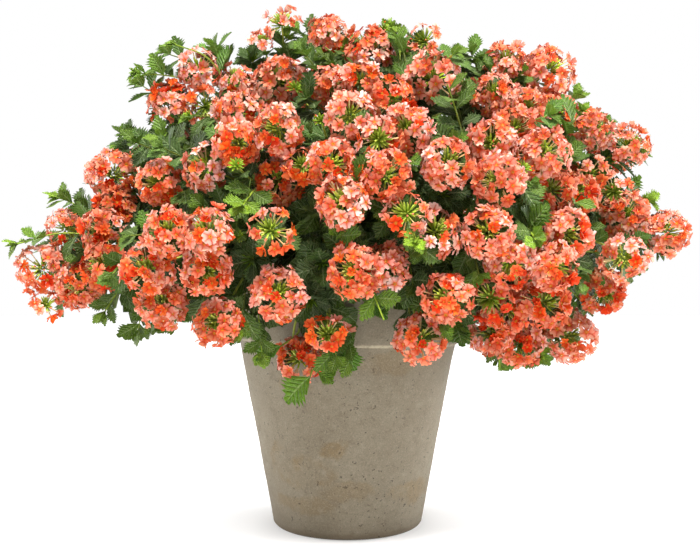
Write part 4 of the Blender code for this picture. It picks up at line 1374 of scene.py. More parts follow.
        # painted light: calyces near the mound's surface are lighter, those deep in it darker
        painted_light = 0.5 + 0.5 * openness(p)
        for i in range(n):
            rr = math.sqrt((i + 0.5) / n)
            phi = 2.39996 * i
            d = unit(direction(math.radians(66) * rr, phi) + shaken(r, 0.10))
            top = R * r.uniform(0.58, 0.78)
            bright = r.uniform(0.76, 1.22) * painted_light
            add_calyx(bag, O + d * 0.10 * R, d, top, 0.00092 * r.uniform(0.8, 1.15), CALYX_OLD * bright, np.minimum((CALYX_NEW * 0.8 + TUBE * 0.2) * bright, 0.95), 3)
            if r.random() < 0.22:
                add_bud(bag, O + d * (top + 0.05 * R), d, r.uniform(0.0016, 0.0026), (ORANGE * 0.6 + SALMON * 0.4) * r.uniform(0.8, 1.1))
        k = 7 if R < 0.0135 else 11
        ph = r.uniform(0, 6.28)
        for i in range(k):
            phi = ph + 2 * math.pi * (i + r.uniform(-0.3, 0.3)) / k
            open_floret(math.radians(r.uniform(44, 92)), phi, 1.06 * r.uniform(0.90, 1.10), r.uniform(0.0054, 0.0072), 0.70 + r.uniform(-0.5, 0.4), 0.40, FLORETS if r.random() < 0.65 else CUPPED)
    else:
        n = 24
        # painted light: calyces near the mound's surface are lighter, those deep in it darker
        painted_light = 0.5 + 0.5 * openness(p)
        for i in range(n):
            rr = math.sqrt((i + 0.5) / n)
            phi = 2.39996 * i
            d = direction(math.radians(92) * rr, phi)
            top = R * r.uniform(0.80, 1.05)
            bright = r.uniform(0.8, 1.2) * painted_light
            add_calyx(bag, O + d * 0.05 * R, d, top * 1.1, 0.00088, CALYX_OLD * 0.8 * bright, np.minimum((CALYX_NEW * 0.5 + CALYX_OLD * 0.4) * bright, 0.95), 3)
            if r.random() < 0.20:
                add_bud(bag, O + d * (top * 1.12), d, 0.0016, ORANGE)


# --------------------------------------------------------------------- materials
def new_material(name, base):
    m = bpy.data.materials.new(name)
    m.use_nodes = True
    m.diffuse_color = (base[0], base[1], base[2], 1.0)
    nt = m.node_tree
    b = nt.nodes["Principled BSDF"]
    b.inputs["Base Color"].default_value = (base[0], base[1], base[2], 1.0)
    return m, nt, b


def node(nt, kind, **values):
    n = nt.nodes.new(kind)
    for k, v in values.items():
        if hasattr(n, k):
            setattr(n, k, v)
        else:
            n.inputs[k.replace("_", " ")].default_value = v
    return n


def link(nt, a, b):
    nt.links.new(a, b)


def math_node(nt, op, a, b=None, clamp=False):
    n = nt.nodes.new("ShaderNodeMath")
    n.operation = op
    n.use_clamp = clamp
    for i, x in enumerate((a, b)):
        if x is None:
            continue
        if isinstance(x, (int, float)):
            n.inputs[i].default_value = x
        else:
            nt.links.new(x, n.inputs[i])
    return n.outputs[0]


def mix_colour(nt, fac, a, b, blend="MIX"):
    n = nt.nodes.new("ShaderNodeMix")
    n.data_type = "RGBA"
    n.blend_type = blend
    for i, x in ((0, fac), (6, a), (7, b)):
        if isinstance(x, (int, float)):
            n.inputs[i].default_value = x
        elif isinstance(x, (tuple, list, np.ndarray)):
            n.inputs[i].default_value = (x[0], x[1], x[2], 1.0)
        else:
            nt.links.new(x, n.inputs[i])
    return n.outputs[2]


def ramp(nt, fac, stops):
    n = nt.nodes.new("ShaderNodeValToRGB")
    cr = n.color_ramp
    while len(cr.elements) < len(stops):
        cr.elements.new(0.5)
    for e, (pos, val) in zip(cr.elements, stops):
        e.position = pos
        e.color = (val, val, val, 1.0) if isinstance(val, (int, float)) else (val[0], val[1], val[2], 1.0)
    nt.links.new(fac, n.inputs[0])
    return n.outputs[0]


def thin_sheet(nt, bsdf, colour, share):
    """Light that passes through a petal or a leaf."""
    tr = nt.nodes.new("ShaderNodeBsdfTranslucent")
    nt.links.new(colour, tr.inputs["Color"])
    mx = nt.nodes.new("ShaderNodeMixShader")
    mx.inputs[0].default_value = share
    nt.links.new(bsdf.outputs[0], mx.inputs[1])
    nt.links.new(tr.outputs[0], mx.inputs[2])
    out = nt.nodes["Material Output"]
    nt.links.new(mx.outputs[0], out.inputs["Surface"])


def petal_material():
    m, nt, b = new_material("petal", SALMON)
    tint = node(nt, "ShaderNodeAttribute", attribute_name="tint").outputs["Color"]
    uv = node(nt, "ShaderNodeUVMap", uv_map="Surface")
    sep = nt.nodes.new("ShaderNodeSeparateXYZ")
    link(nt, uv.outputs[0], sep.inputs[0])
    u, v = sep.outputs[0], sep.outputs[1]
    # deeper towards the throat, partly the throat's own colour and partly painted shade in the floret's hollow; paler
    # at the rim
    deep = mix_colour(nt, 1.0, tint, lin(236, 112, 56), "MULTIPLY")
    body = mix_colour(nt, ramp(nt, v, ((0.12, 0.0), (0.60, 1.0))), deep, tint)
    # painted shade: each petal's sides below the rim are darkened where a neighbouring petal overlaps it
    fold = math_node(nt, "MULTIPLY", math_node(nt, "ABSOLUTE", math_node(nt, "SUBTRACT", u, 0.5)), 2.0)
    side = math_node(nt, "MULTIPLY", ramp(nt, fold, ((0.62, 0.0), (0.98, 0.85))), ramp(nt, v, ((0.66, 1.0), (0.90, 0.0))))
    body = mix_colour(nt, side, body, mix_colour(nt, 1.0, tint, lin(222, 108, 60), "MULTIPLY"))
    rim = mix_colour(nt, 0.03, mix_colour(nt, 1.0, tint, (1.04, 1.17, 1.20), "MULTIPLY"), (1.0, 0.80, 0.72))
    body = mix_colour(nt, ramp(nt, v, ((0.70, 0.0), (0.98, 0.80))), body, rim)
    # the greenish yellow eye
    body = mix_colour(nt, ramp(nt, v, ((0.0, 0.75), (0.13, 0.40), (0.22, 0.0))), body, lin(196, 146, 48))
    # fine streaks along the petal
    mp = node(nt, "ShaderNodeMapping")
    mp.inputs["Scale"].default_value = (13.0, 1.6, 1.0)
    link(nt, uv.outputs[0], mp.inputs["Vector"])
    nz = node(nt, "ShaderNodeTexNoise", Scale=1.0, Detail=3.0, Roughness=0.6)
    link(nt, mp.outputs[0], nz.inputs["Vector"])
    body = mix_colour(nt, ramp(nt, nz.outputs["Fac"], ((0.35, 0.30), (0.62, 0.0))), body, mix_colour(nt, 1.0, body, (0.80, 0.52, 0.46), "MULTIPLY"))
    geo = nt.nodes.new("ShaderNodeNewGeometry")
    big = node(nt, "ShaderNodeTexNoise", Scale=210.0, Detail=2.0)
    link(nt, geo.outputs["Position"], big.inputs["Vector"])
    body = mix_colour(nt, ramp(nt, big.outputs["Fac"], ((0.35, 0.0), (0.70, 0.28))), body, mix_colour(nt, 1.0, body, (1.03, 1.25, 1.32), "MULTIPLY"))
    link(nt, body, b.inputs["Base Color"])
    b.inputs["Roughness"].default_value = 0.50
    b.inputs["Specular IOR Level"].default_value = 0.07
    bump = node(nt, "ShaderNodeBump", Strength=0.35, Distance=0.0006)
    link(nt, nz.outputs["Fac"], bump.inputs["Height"])
    link(nt, bump.outputs[0], b.inputs["Normal"])
    thin_sheet(nt, b, mix_colour(nt, 1.0, body, lin(255, 176, 128), "MULTIPLY"), 0.26)
    return m


def leaf_material():
    m, nt, b = new_material("leaf", LEAF_MID)
    tint = node(nt, "ShaderNodeAttribute", attribute_name="tint").outputs["Color"]
    uv = node(nt, "ShaderNodeUVMap", uv_map="Surface")
    sep = nt.nodes.new("ShaderNodeSeparateXYZ")
    link(nt, uv.outputs[0], sep.inputs[0])
    u, v = sep.outputs[0], sep.outputs[1]
    # side veins run to the tooth tips, the midrib along the middle
    mid = math_node(nt, "ABSOLUTE", math_node(nt, "SUBTRACT", u, 0.5))
    slant = math_node(nt, "SUBTRACT", math_node(nt, "MULTIPLY", v, float(TEETH)), math_node(nt, "MULTIPLY", mid, 2.0))
    side = math_node(nt, "ABSOLUTE", math_node(nt, "SUBTRACT", math_node(nt, "FRACT", slant), 0.5))
    vein = ramp(nt, side, ((0.0, 1.0), (0.05, 0.85), (0.11, 0.0)))
    rib = ramp(nt, mid, ((0.0, 1.0), (0.022, 1.0), (0.05, 0.0)))
    veins = math_node(nt, "MAXIMUM", math_node(nt, "MULTIPLY", vein, 0.8), rib)
    geo = nt.nodes.new("ShaderNodeNewGeometry")
    net = node(nt, "ShaderNodeTexVoronoi", feature="DISTANCE_TO_EDGE", Scale=9.0)
    mp = node(nt, "ShaderNodeMapping")
    mp.inputs["Scale"].default_value = (1.3, 2.3, 1.0)
    link(nt, uv.outputs[0], mp.inputs["Vector"])
    link(nt, mp.outputs[0], net.inputs["Vector"])
    fine = ramp(nt, net.outputs["Distance"], ((0.0, 0.6), (0.10, 0.0)))
    allv = math_node(nt, "MAXIMUM", veins, fine)
    nz = node(nt, "ShaderNodeTexNoise", Scale=190.0, Detail=4.0, Roughness=0.65)
    link(nt, geo.outputs["Position"], nz.inputs["Vector"])
    crinkle = node(nt, "ShaderNodeTexNoise", Scale=430.0, Detail=2.0, Roughness=0.6)
    link(nt, geo.outputs["Position"], crinkle.inputs["Vector"])
    body = mix_colour(nt, ramp(nt, nz.outputs["Fac"], ((0.34, 0.0), (0.64, 0.95))), mix_colour(nt, 1.0, tint, (0.60, 0.66, 0.56), "MULTIPLY"), tint)
    # painted shade: the blade is darker in the low parts of its crinkle
    body = mix_colour(nt, ramp(nt, crinkle.outputs["Fac"], ((0.38, 0.60), (0.58, 0.0))), body, mix_colour(nt, 1.0, body, (0.42, 0.48, 0.40), "MULTIPLY"))
    # painted shade: the blade is darkened beside each side vein, in the furrows between the quilted swellings
    painted_furrow_shade = ramp(nt, side, ((0.06, 0.0), (0.14, 0.72), (0.30, 0.0)))
    body = mix_colour(nt, painted_furrow_shade, body, mix_colour(nt, 1.0, body, (0.50, 0.56, 0.44), "MULTIPLY"))
    pale = mix_colour(nt, 1.0, mix_colour(nt, 0.34, tint, (0.62, 0.72, 0.42)), (1.0, 1.0, 0.95), "MULTIPLY")
    body = mix_colour(nt, math_node(nt, "MULTIPLY", allv, 0.62), body, pale)
    edge = math_node(nt, "MULTIPLY", ramp(nt, mid, ((0.42, 0.0), (0.50, 1.0))), 0.22)
    body = mix_colour(nt, edge, body, mix_colour(nt, 0.30, tint, lin(150, 176, 90)))
    link(nt, body, b.inputs["Base Color"])
    rough = ramp(nt, nz.outputs["Fac"], ((0.3, 0.42), (0.7, 0.60)))
    link(nt, rough, b.inputs["Roughness"])
    b.inputs["Specular IOR Level"].default_value = 0.16
    swell = math_node(nt, "SINE", math_node(nt, "MULTIPLY", side, math.pi))
    height = math_node(nt, "ADD", math_node(nt, "MULTIPLY", crinkle.outputs["Fac"], 0.55), math_node(nt, "SUBTRACT", math_node(nt, "MULTIPLY", swell, 0.8), math_node(nt, "MULTIPLY", rib, 0.5)))
    bump = node(nt, "ShaderNodeBump", Strength=1.0, Distance=0.0012)
    link(nt, height, bump.inputs["Height"])
    link(nt, bump.outputs[0], b.inputs["Normal"])
    thin_sheet(nt, b, mix_colour(nt, 1.0, mix_colour(nt, 0.30, body, (0.20, 0.42, 0.04)), (1.0, 1.0, 0.6), "MULTIPLY"), 0.14)
    return m


def stalk_material():
    m, nt, b = new_material("stalk", STALK)
    tint = node(nt, "ShaderNodeAttribute", attribute_name="tint").outputs["Color"]
    geo = nt.nodes.new("ShaderNodeNewGeometry")
    nz = node(nt, "ShaderNodeTexNoise", Scale=260.0, Detail=3.0)
    link(nt, geo.outputs["Position"], nz.inputs["Vector"])
    uv = node(nt, "ShaderNodeUVMap", uv_map="Surface")
    sep = nt.nodes.new("ShaderNodeSeparateXYZ")
    link(nt, uv.outputs[0], sep.inputs[0])
    ridge = math_node(nt, "ABSOLUTE", math_node(nt, "SUBTRACT", math_node(nt, "FRACT", math_node(nt, "MULTIPLY", sep.outputs[0], 4.0)), 0.5))
    body = mix_colour(nt, ramp(nt, nz.outputs["Fac"], ((0.35, 0.0), (0.65, 1.0))), mix_colour(nt, 1.0, tint, (0.60, 0.66, 0.55), "MULTIPLY"), tint)
    body = mix_colour(nt, math_node(nt, "MULTIPLY", ridge, 0.7), body, mix_colour(nt, 0.3, tint, lin(190, 190, 120)))
    link(nt, body, b.inputs["Base Color"])
    b.inputs["Roughness"].default_value = 0.55
    b.inputs["Specular IOR Level"].default_value = 0.2
    bump = node(nt, "ShaderNodeBump", Strength=0.4, Distance=0.0005)
    link(nt, nz.outputs["Fac"], bump.inputs["Height"])
    link(nt, bump.outputs[0], b.inputs["Normal"])
    return m


def calyx_material():
    m, nt, b = new_material("calyx", CALYX_NEW)
    tint = node(nt, "ShaderNodeAttribute", attribute_name="tint").outputs["Color"]
    uv = node(nt, "ShaderNodeUVMap", uv_map="Surface")
    mp = node(nt, "ShaderNodeMapping")
    mp.inputs["Scale"].default_value = (9.0, 2.0, 1.0)
    link(nt, uv.outputs[0], mp.inputs["Vector"])
    nz = node(nt, "ShaderNodeTexNoise", Scale=1.0, Detail=2.0)
    link(nt, mp.outputs[0], nz.inputs["Vector"])
    body = mix_colour(nt, ramp(nt, nz.outputs["Fac"], ((0.35, 0.0), (0.62, 1.0))), mix_colour(nt, 1.0, tint, (0.74, 0.80, 0.60), "MULTIPLY"), tint)
    link(nt, body, b.inputs["Base Color"])
    b.inputs["Roughness"].default_value = 0.5
    b.inputs["Specular IOR Level"].default_value = 0.2
    bump = node(nt, "ShaderNodeBump", Strength=0.4, Distance=0.0004)
    link(nt, nz.outputs["Fac"], bump.inputs["Height"])
    link(nt, bump.outputs[0], b.inputs["Normal"])
    return m


def concrete_material():
    base = lin(158, 147, 128)
    m, nt, b = new_material("cast_concrete", base)
    geo = nt.nodes.new("ShaderNodeNewGeometry")
    pos = geo.outputs["Position"]
    sep = nt.nodes.new("ShaderNodeSeparateXYZ")
    link(nt, pos, sep.inputs[0])
    cloud = node(nt, "ShaderNodeTexNoise", Scale=11.0, Detail=5.0, Roughness=0.6)
    link(nt, pos, cloud.inputs["Vector"])
    body = mix_colour(nt, ramp(nt, cloud.outputs["Fac"], ((0.36, 0.0), (0.62, 1.0))), lin(104, 95, 78), lin(113, 105, 89))
    stain = node(nt, "ShaderNodeTexNoise", Scale=17.0, Detail=6.0, Roughness=0.68)
    mp = node(nt, "ShaderNodeMapping")
    mp.inputs["Location"].default_value = (3.1, 1.7, 0.4)
    mp.inputs["Scale"].default_value = (1.0, 1.0, 0.75)
    link(nt, pos, mp.inputs["Vector"])
    link(nt, mp.outputs[0], stain.inputs["Vector"])
    rub = ramp(nt, stain.outputs["Fac"], ((0.40, 0.15), (0.50, 1.0)))
    behind = ramp(nt, math_node(nt, "ADD", sep.outputs[1], 0.5), ((0.50, 0.0), (0.52, 1.0)))
    free = math_node(nt, "MULTIPLY", ramp(nt, stain.outputs["Fac"], ((0.54, 0.0), (0.64, 0.9))), behind)
    drift = node(nt, "ShaderNodeTexNoise", Scale=42.0, Detail=4.0, Roughness=0.65)
    link(nt, pos, drift.inputs["Vector"])
    moved = nt.nodes.new("ShaderNodeVectorMath")
    moved.operation = "MULTIPLY_ADD"
    link(nt, drift.outputs["Color"], moved.inputs[0])
    moved.inputs[1].default_value = (0.034, 0.0, 0.026)
    link(nt, pos, moved.inputs[2])
    front = math_node(nt, "SUBTRACT", 1.0, behind)
    # rusty patches: middle, half width and half height on the front of the pot
    for px_, pz_, rx_, rz_, much in ((-0.044, 0.066, 0.034, 0.016, 1.0), (-0.012, 0.090, 0.015, 0.011, 0.9), (-0.069, 0.083, 0.009, 0.014, 0.7),
                                     (0.036, 0.171, 0.034, 0.012, 0.55), (0.060, 0.043, 0.026, 0.012, 0.7), (-0.002, 0.048, 0.028, 0.011, 0.5),
                                     (-0.040, 0.034, 0.034, 0.010, 0.6), (-0.050, 0.150, 0.020, 0.008, 0.35)):
        spot_ = node(nt, "ShaderNodeMapping")
        spot_.inputs["Scale"].default_value = (1 / rx_, 0.0, 1 / rz_)
        spot_.inputs["Location"].default_value = (-(px_ + 0.017) / rx_, 0.0, -(pz_ + 0.013) / rz_)
        link(nt, moved.outputs[0], spot_.inputs["Vector"])
        far_ = nt.nodes.new("ShaderNodeVectorMath")
        far_.operation = "LENGTH"
        link(nt, spot_.outputs[0], far_.inputs[0])
        one = math_node(nt, "MULTIPLY", ramp(nt, math_node(nt, "MULTIPLY", far_.outputs["Value"], 0.5), ((0.0, much), (0.36, much * 0.95), (0.52, 0.0))), front)
        free = math_node(nt, "MAXIMUM", free, math_node(nt, "MULTIPLY", one, rub))
    body = mix_colour(nt, math_node(nt, "MULTIPLY", free, 0.9), body, mix_colour(nt, 1.0, body, (0.92, 0.76, 0.52), "MULTIPLY"))
    mott = node(nt, "ShaderNodeTexNoise", Scale=95.0, Detail=4.0, Roughness=0.7)
    link(nt, pos, mott.inputs["Vector"])
    body = mix_colour(nt, ramp(nt, mott.outputs["Fac"], ((0.32, 0.50), (0.47, 0.0))), body, lin(92, 83, 67))
    body = mix_colour(nt, ramp(nt, mott.outputs["Fac"], ((0.56, 0.0), (0.70, 0.34))), body, lin(130, 123, 108))
    sand = node(nt, "ShaderNodeTexNoise", Scale=780.0, Detail=2.0, Roughness=0.7)
    link(nt, pos, sand.inputs["Vector"])
    body = mix_colour(nt, ramp(nt, sand.outputs["Fac"], ((0.34, 0.36), (0.46, 0.0))), body, lin(80, 72, 58))
    body = mix_colour(nt, ramp(nt, sand.outputs["Fac"], ((0.55, 0.0), (0.68, 0.30))), body, lin(146, 138, 122))
    # a painted highlight along the rim band's lower edge, broken up by the mottling
    painted_edge_highlight = math_node(nt, "ADD", math_node(nt, "ADD", sep.outputs[2], 0.010 - BAND_Z), math_node(nt, "MULTIPLY", sep.outputs[0], 0.0285))
    painted_edge_highlight = ramp(nt, math_node(nt, "MULTIPLY", painted_edge_highlight, 20.0), ((0.168, 0.0), (0.186, 1.0), (0.222, 1.0), (0.246, 0.0)))
    painted_edge_highlight = math_node(nt, "MULTIPLY", painted_edge_highlight, ramp(nt, mott.outputs["Fac"], ((0.44, 0.10), (0.58, 0.80))))
    body = mix_colour(nt, painted_edge_highlight, body, lin(150, 140, 118))
    # a thin dark line round the foot, just above its bottom edge
    line = ramp(nt, math_node(nt, "ADD", sep.outputs[2], math_node(nt, "MULTIPLY", math_node(nt, "SUBTRACT", mott.outputs["Fac"], 0.5), 0.006)), ((0.0, 0.0), (0.0030, 0.0), (0.0042, 0.75), (0.0056, 0.0)))
    body = mix_colour(nt, line, body, lin(84, 70, 50))
    # darker towards the bottom, over the lowest few centimetres
    low = ramp(nt, math_node(nt, "ADD", sep.outputs[2], math_node(nt, "MULTIPLY", math_node(nt, "SUBTRACT", cloud.outputs["Fac"], 0.5), 0.030)), ((0.0, 1.0), (0.005, 0.8), (0.022, 0.16), (0.060, 0.0)))
    body = mix_colour(nt, math_node(nt, "MULTIPLY", low, 0.55), body, lin(84, 74, 58))
    # small dark pits
    dist = nt.nodes.new("ShaderNodeMix")
    dist.data_type = "VECTOR"
    dist.inputs[0].default_value = 0.012
    warp = node(nt, "ShaderNodeTexNoise", Scale=260.0, Detail=2.0)
    link(nt, pos, warp.inputs["Vector"])
    link(nt, pos, dist.inputs[4])
    link(nt, warp.outputs["Color"], dist.inputs[5])
    flat = node(nt, "ShaderNodeMapping")
    flat.inputs["Scale"].default_value = (1.0, 1.0, 1.35)
    link(nt, dist.outputs[1], flat.inputs["Vector"])
    pits = node(nt, "ShaderNodeTexVoronoi", Scale=185.0, Randomness=1.0)
    link(nt, flat.outputs[0], pits.inputs["Vector"])
    hsv = nt.nodes.new("ShaderNodeSeparateXYZ")
    link(nt, pits.outputs["Color"], hsv.inputs[0])
    crowd = ramp(nt, cloud.outputs["Fac"], ((0.42, 0.35), (0.56, 1.0)))
    rare = math_node(nt, "MULTIPLY", ramp(nt, hsv.outputs[0], ((0.50, 0.0), (0.58, 1.0))), crowd)
    spot = ramp(nt, pits.outputs["Distance"], ((0.13, 1.0), (0.22, 0.0)))
    pit = math_node(nt, "MULTIPLY", spot, rare)
    pits2 = node(nt, "ShaderNodeTexVoronoi", Scale=66.0, Randomness=1.0)
    link(nt, flat.outputs[0], pits2.inputs["Vector"])
    s2 = nt.nodes.new("ShaderNodeSeparateXYZ")
    link(nt, pits2.outputs["Color"], s2.inputs[0])
    pit2 = math_node(nt, "MULTIPLY", ramp(nt, pits2.outputs["Distance"], ((0.055, 1.0), (0.10, 0.0))), ramp(nt, s2.outputs[0], ((0.55, 0.0), (0.62, 1.0))))
    allpit = math_node(nt, "MAXIMUM", pit, pit2)
    body = mix_colour(nt, math_node(nt, "MULTIPLY", allpit, 0.88), body, lin(42, 34, 25))
    link(nt, body, b.inputs["Base Color"])
    rough = ramp(nt, cloud.outputs["Fac"], ((0.3, 0.78), (0.7, 0.92)))
    link(nt, rough, b.inputs["Roughness"])
    b.inputs["Specular IOR Level"].default_value = 0.35
    grain = node(nt, "ShaderNodeTexNoise", Scale=520.0, Detail=3.0, Roughness=0.7)
    link(nt, pos, grain.inputs["Vector"])
    height = math_node(nt, "ADD", math_node(nt, "MULTIPLY", grain.outputs["Fac"], 0.30), math_node(nt, "MULTIPLY", mott.outputs["Fac"], 0.45))
    height = math_node(nt, "SUBTRACT", height, math_node(nt, "MULTIPLY", allpit, 1.4))
    bump = node(nt, "ShaderNodeBump", Strength=0.55, Distance=0.0009)
    link(nt, height, bump.inputs["Height"])
    link(nt, bump.outputs[0], b.inputs["Normal"])
    return m


def soil_material():
    m, nt, b = new_material("compost", lin(58, 42, 32))
    geo = nt.nodes.new("ShaderNodeNewGeometry")
    nz = node(nt, "ShaderNodeTexNoise", Scale=240.0, Detail=6.0, Roughness=0.75)
    link(nt, geo.outputs["Position"], nz.inputs["Vector"])
    vo = node(nt, "ShaderNodeTexVoronoi", Scale=190.0)
    link(nt, geo.outputs["Position"], vo.inputs["Vector"])
    body = mix_colour(nt, ramp(nt, nz.outputs["Fac"], ((0.35, 0.0), (0.66, 1.0))), lin(34, 24, 18), lin(88, 66, 48))
    body = mix_colour(nt, ramp(nt, vo.outputs["Distance"], ((0.0, 0.6), (0.4, 0.0))), body, lin(112, 84, 58))
    link(nt, body, b.inputs["Base Color"])
    b.inputs["Roughness"].default_value = 0.95
    b.inputs["Specular IOR Level"].default_value = 0.2
    bump = node(nt, "ShaderNodeBump", Strength=0.9, Distance=0.002)
    link(nt, nz.outputs["Fac"], bump.inputs["Height"])
    link(nt, bump.outputs[0], b.inputs["Normal"])
    return m


def bark_material():
    m, nt, b = new_material("woody_stem", lin(112, 98, 66))
    geo = nt.nodes.new("ShaderNodeNewGeometry")
    nz = node(nt, "ShaderNodeTexNoise", Scale=170.0, Detail=5.0, Roughness=0.7)
    link(nt, geo.outputs["Position"], nz.inputs["Vector"])
    body = mix_colour(nt, ramp(nt, nz.outputs["Fac"], ((0.35, 0.0), (0.65, 1.0))), lin(74, 60, 40), lin(132, 120, 84))
    link(nt, body, b.inputs["Base Color"])
    b.inputs["Roughness"].default_value = 0.8
    bump = node(nt, "ShaderNodeBump", Strength=0.8, Distance=0.0015)
    link(nt, nz.outputs["Fac"], bump.inputs["Height"])
    link(nt, bump.outputs[0], b.inputs["Normal"])
    return m


MATS = [petal_material(), leaf_material(), stalk_material(), calyx_material()]
MAT_CONCRETE, MAT_COMPOST, MAT_BARK = concrete_material(), soil_material(), bark_material()

# --------------------------------------------------------------------- the flowering stems
TONES = {"m": 0.26, "o": 0.20, "h": 0.40, "y": 0.75, "b": 0.9}
for i, h in enumerate(heads):
    h.tone = TONES[h.kind] + rnd.uniform(-0.20, 0.20)

by_node = {}
for h in heads:
    by_node.setdefault(h.node, []).append(h)

# places along the outline where leaves stand out between the heads
EDGE_LEAVES = [(138, 330, 0.0), (166, 53, 0.01), (250, 32, 0.02), (140, 84, 0.01),
               (498, 361, 0.01), (215, 48, 0.02), (299, 33, 0.03), (297, 56, 0.04), (318, 61, 0.02),
               (333, 64, 0.04), (346, 50, 0.03), (310, 48, 0.05), (125, 136, 0.02), (471, 53, 0.0)]

# leafy sprigs that fill the gaps between the heads, each grown from the nearest stem
sprigs = {}
sprig_tips = []
rs = random.Random(404)
for i in range(1500):
    z = 1 - 2 * (i + 0.5) / 1500
    rr = math.sqrt(1 - z * z)
    a = golden * i + 0.3
    d = Vector((rr * math.cos(a) * 1.2, rr * math.sin(a), z * 0.85)).normalized()
    level = rs.uniform(0.60, 0.90)
    core = Vector((0, 0, MID_Z))
    lo, hi = 0.02, 0.5
    for _ in range(18):
        mid = (lo + hi) / 2
        if bulk(core + d * mid) < level:
            lo = mid
        else:
            hi = mid
    tip = core + d * lo
    q = np3(tip)
    gap = (np.linalg.norm(HEAD_P - q, axis=1) - 0.86 * HEAD_R).min()
    if gap < 0.0 or any(np.linalg.norm(q - t) < 0.036 for t in sprig_tips):
        continue
    if clear_of_pot(tip, 0.012) < 0.004:
        continue
    vx, vy = on_view(tip)
    if not inside_outline(vx, vy, 9.0):
        continue
    inner = tip - outward(tip) * 0.055 + Vector((0, 0, 0.006))
    best = None
    for name_, pts, r_ in paths:
        for e, g in zip(pts, pts[1:]):
            eg = g - e
            t = min(max((inner - e).dot(eg) / eg.length_squared, 0.1), 0.9)
            c = e + eg * t
            dist = (inner - c).length + 0.5 * max(bulk(c) - 0.6, 0.0) * 0.1
            if best is None or dist < best[0]:
                best = (dist, c, name_)
    if best[0] > 0.085:
        continue
    start = best[1]
    middle = start.lerp(tip, 0.55) + Vector((0, 0, 0.10 * (tip - start).length)) + Vector((rs.uniform(-1, 1), rs.uniform(-1, 1), rs.uniform(-1, 1))) * 0.004
    if clear_of_pot(middle, 0.002) < 0.003:
        continue
    sprigs.setdefault(best[2], []).append((start, middle, tip))
    sprig_tips.append(q)
edge_sprigs = {}
for vx, vy, deeper in EDGE_LEAVES:
    way = sight(vx, vy)
    tip = EYE + way * (reach(way, 0.92) + deeper)
    inner = tip - outward(tip) * 0.055 + Vector((0, 0, 0.006))
    best = None
    for name_, pts, r_ in paths:
        for e, g in zip(pts, pts[1:]):
            eg = g - e
            t = min(max((inner - e).dot(eg) / eg.length_squared, 0.1), 0.9)
            c = e + eg * t
            dist = (inner - c).length
            if best is None or dist < best[0]:
                best = (dist, c, name_)
    middle = best[1].lerp(tip, 0.55) + Vector((0, 0, 0.10 * (tip - best[1]).length))
    edge_sprigs.setdefault(best[2], []).append((best[1], middle, tip))
print("sprigs", len(sprig_tips))


def add_sprig(target, route, r, edge=False):
    bag = Bag()
    limit_, beyond_ = (1.45, 0.10) if edge else (1.00, 0.0)
    path = catmull(route, 5)
    n = len(path)
    fresh = r.uniform(0.0, 0.32)
    add_tube(bag, path, [0.00115 * (1 - 0.45 * i / (n - 1)) for i in range(n)], 3, STALK_DARK * 0.7, M_STALK, 2.0, STALK * 0.4 + LEAF_NEW * 0.3)
    quarter = r.uniform(0, math.pi)
    span = np.linalg.norm(path[-1] - path[0])
    pairs = max(3, int(span * 0.75 / 0.0125))
    grown = 0
    for j in range(pairs):
        t = 0.25 + 0.75 * (j + 0.6) / pairs
        at = min(t, 0.999) * (n - 1)
        i0 = min(int(at), n - 2)
        base = path[i0] + (path[i0 + 1] - path[i0]) * (at - i0)
        d = unit(path[i0 + 1] - path[i0])
        f = basis(d, quarter)
        quarter += math.pi / 2 + r.uniform(-0.15, 0.15)
        size = (0.037 - 0.013 * t) * r.uniform(0.88, 1.10)
        for sgn in (1, -1):
            grown += try_leaf(bag, base, d, f[:, 0] * sgn, size, r, new=fresh * t * t, limit=limit_, beyond=beyond_)
    d = unit(path[-1] - path[-2])
    f = basis(d, quarter)
    top = 0
    for j in range(4):
        a = j * math.pi / 2
        side = f[:, 0] * math.cos(a) + f[:, 1] * math.sin(a)
        top += try_leaf(bag, path[-1], d, side, 0.018 - 0.0022 * j, r, new=fresh + 0.20, limit=limit_ + 0.03, lean=1.1, beyond=beyond_)
    if grown < (2 if edge else 4) or top < (1 if edge else 2):
        return
    if r.random() < 0.16:
        for i in range(16):
            rr = math.sqrt((i + 0.5) / 16)
            c = f @ np.array((math.sin(1.5 * rr) * math.cos(2.4 * i), math.sin(1.5 * rr) * math.sin(2.4 * i), math.cos(1.5 * rr)))
            add_calyx(bag, path[-1] + d * 0.001, c, 0.0058, 0.0008, CALYX_OLD * 0.8, CALYX_OLD * 0.5 + CALYX_NEW * 0.4, 3)
    target.take(bag)


# leaves that hang below the front heads: base and tip as seen from the front, width, freshness
HANGING = [(310, 377, 283, 398, 1.45, 0.25), (347, 344, 353, 371, 1.15, 0.10), (318, 372, 333, 384, 1.0, 0.35),
           (333, 352, 346, 362, 0.9, 0.3), (281, 346, 254, 356, 1.2, 0.05), (372, 300, 388, 318, 1.05, 0.0),
           (392, 303, 372, 316, 1.0, 0.05), (338, 366, 322, 381, 0.95, 0.45)]


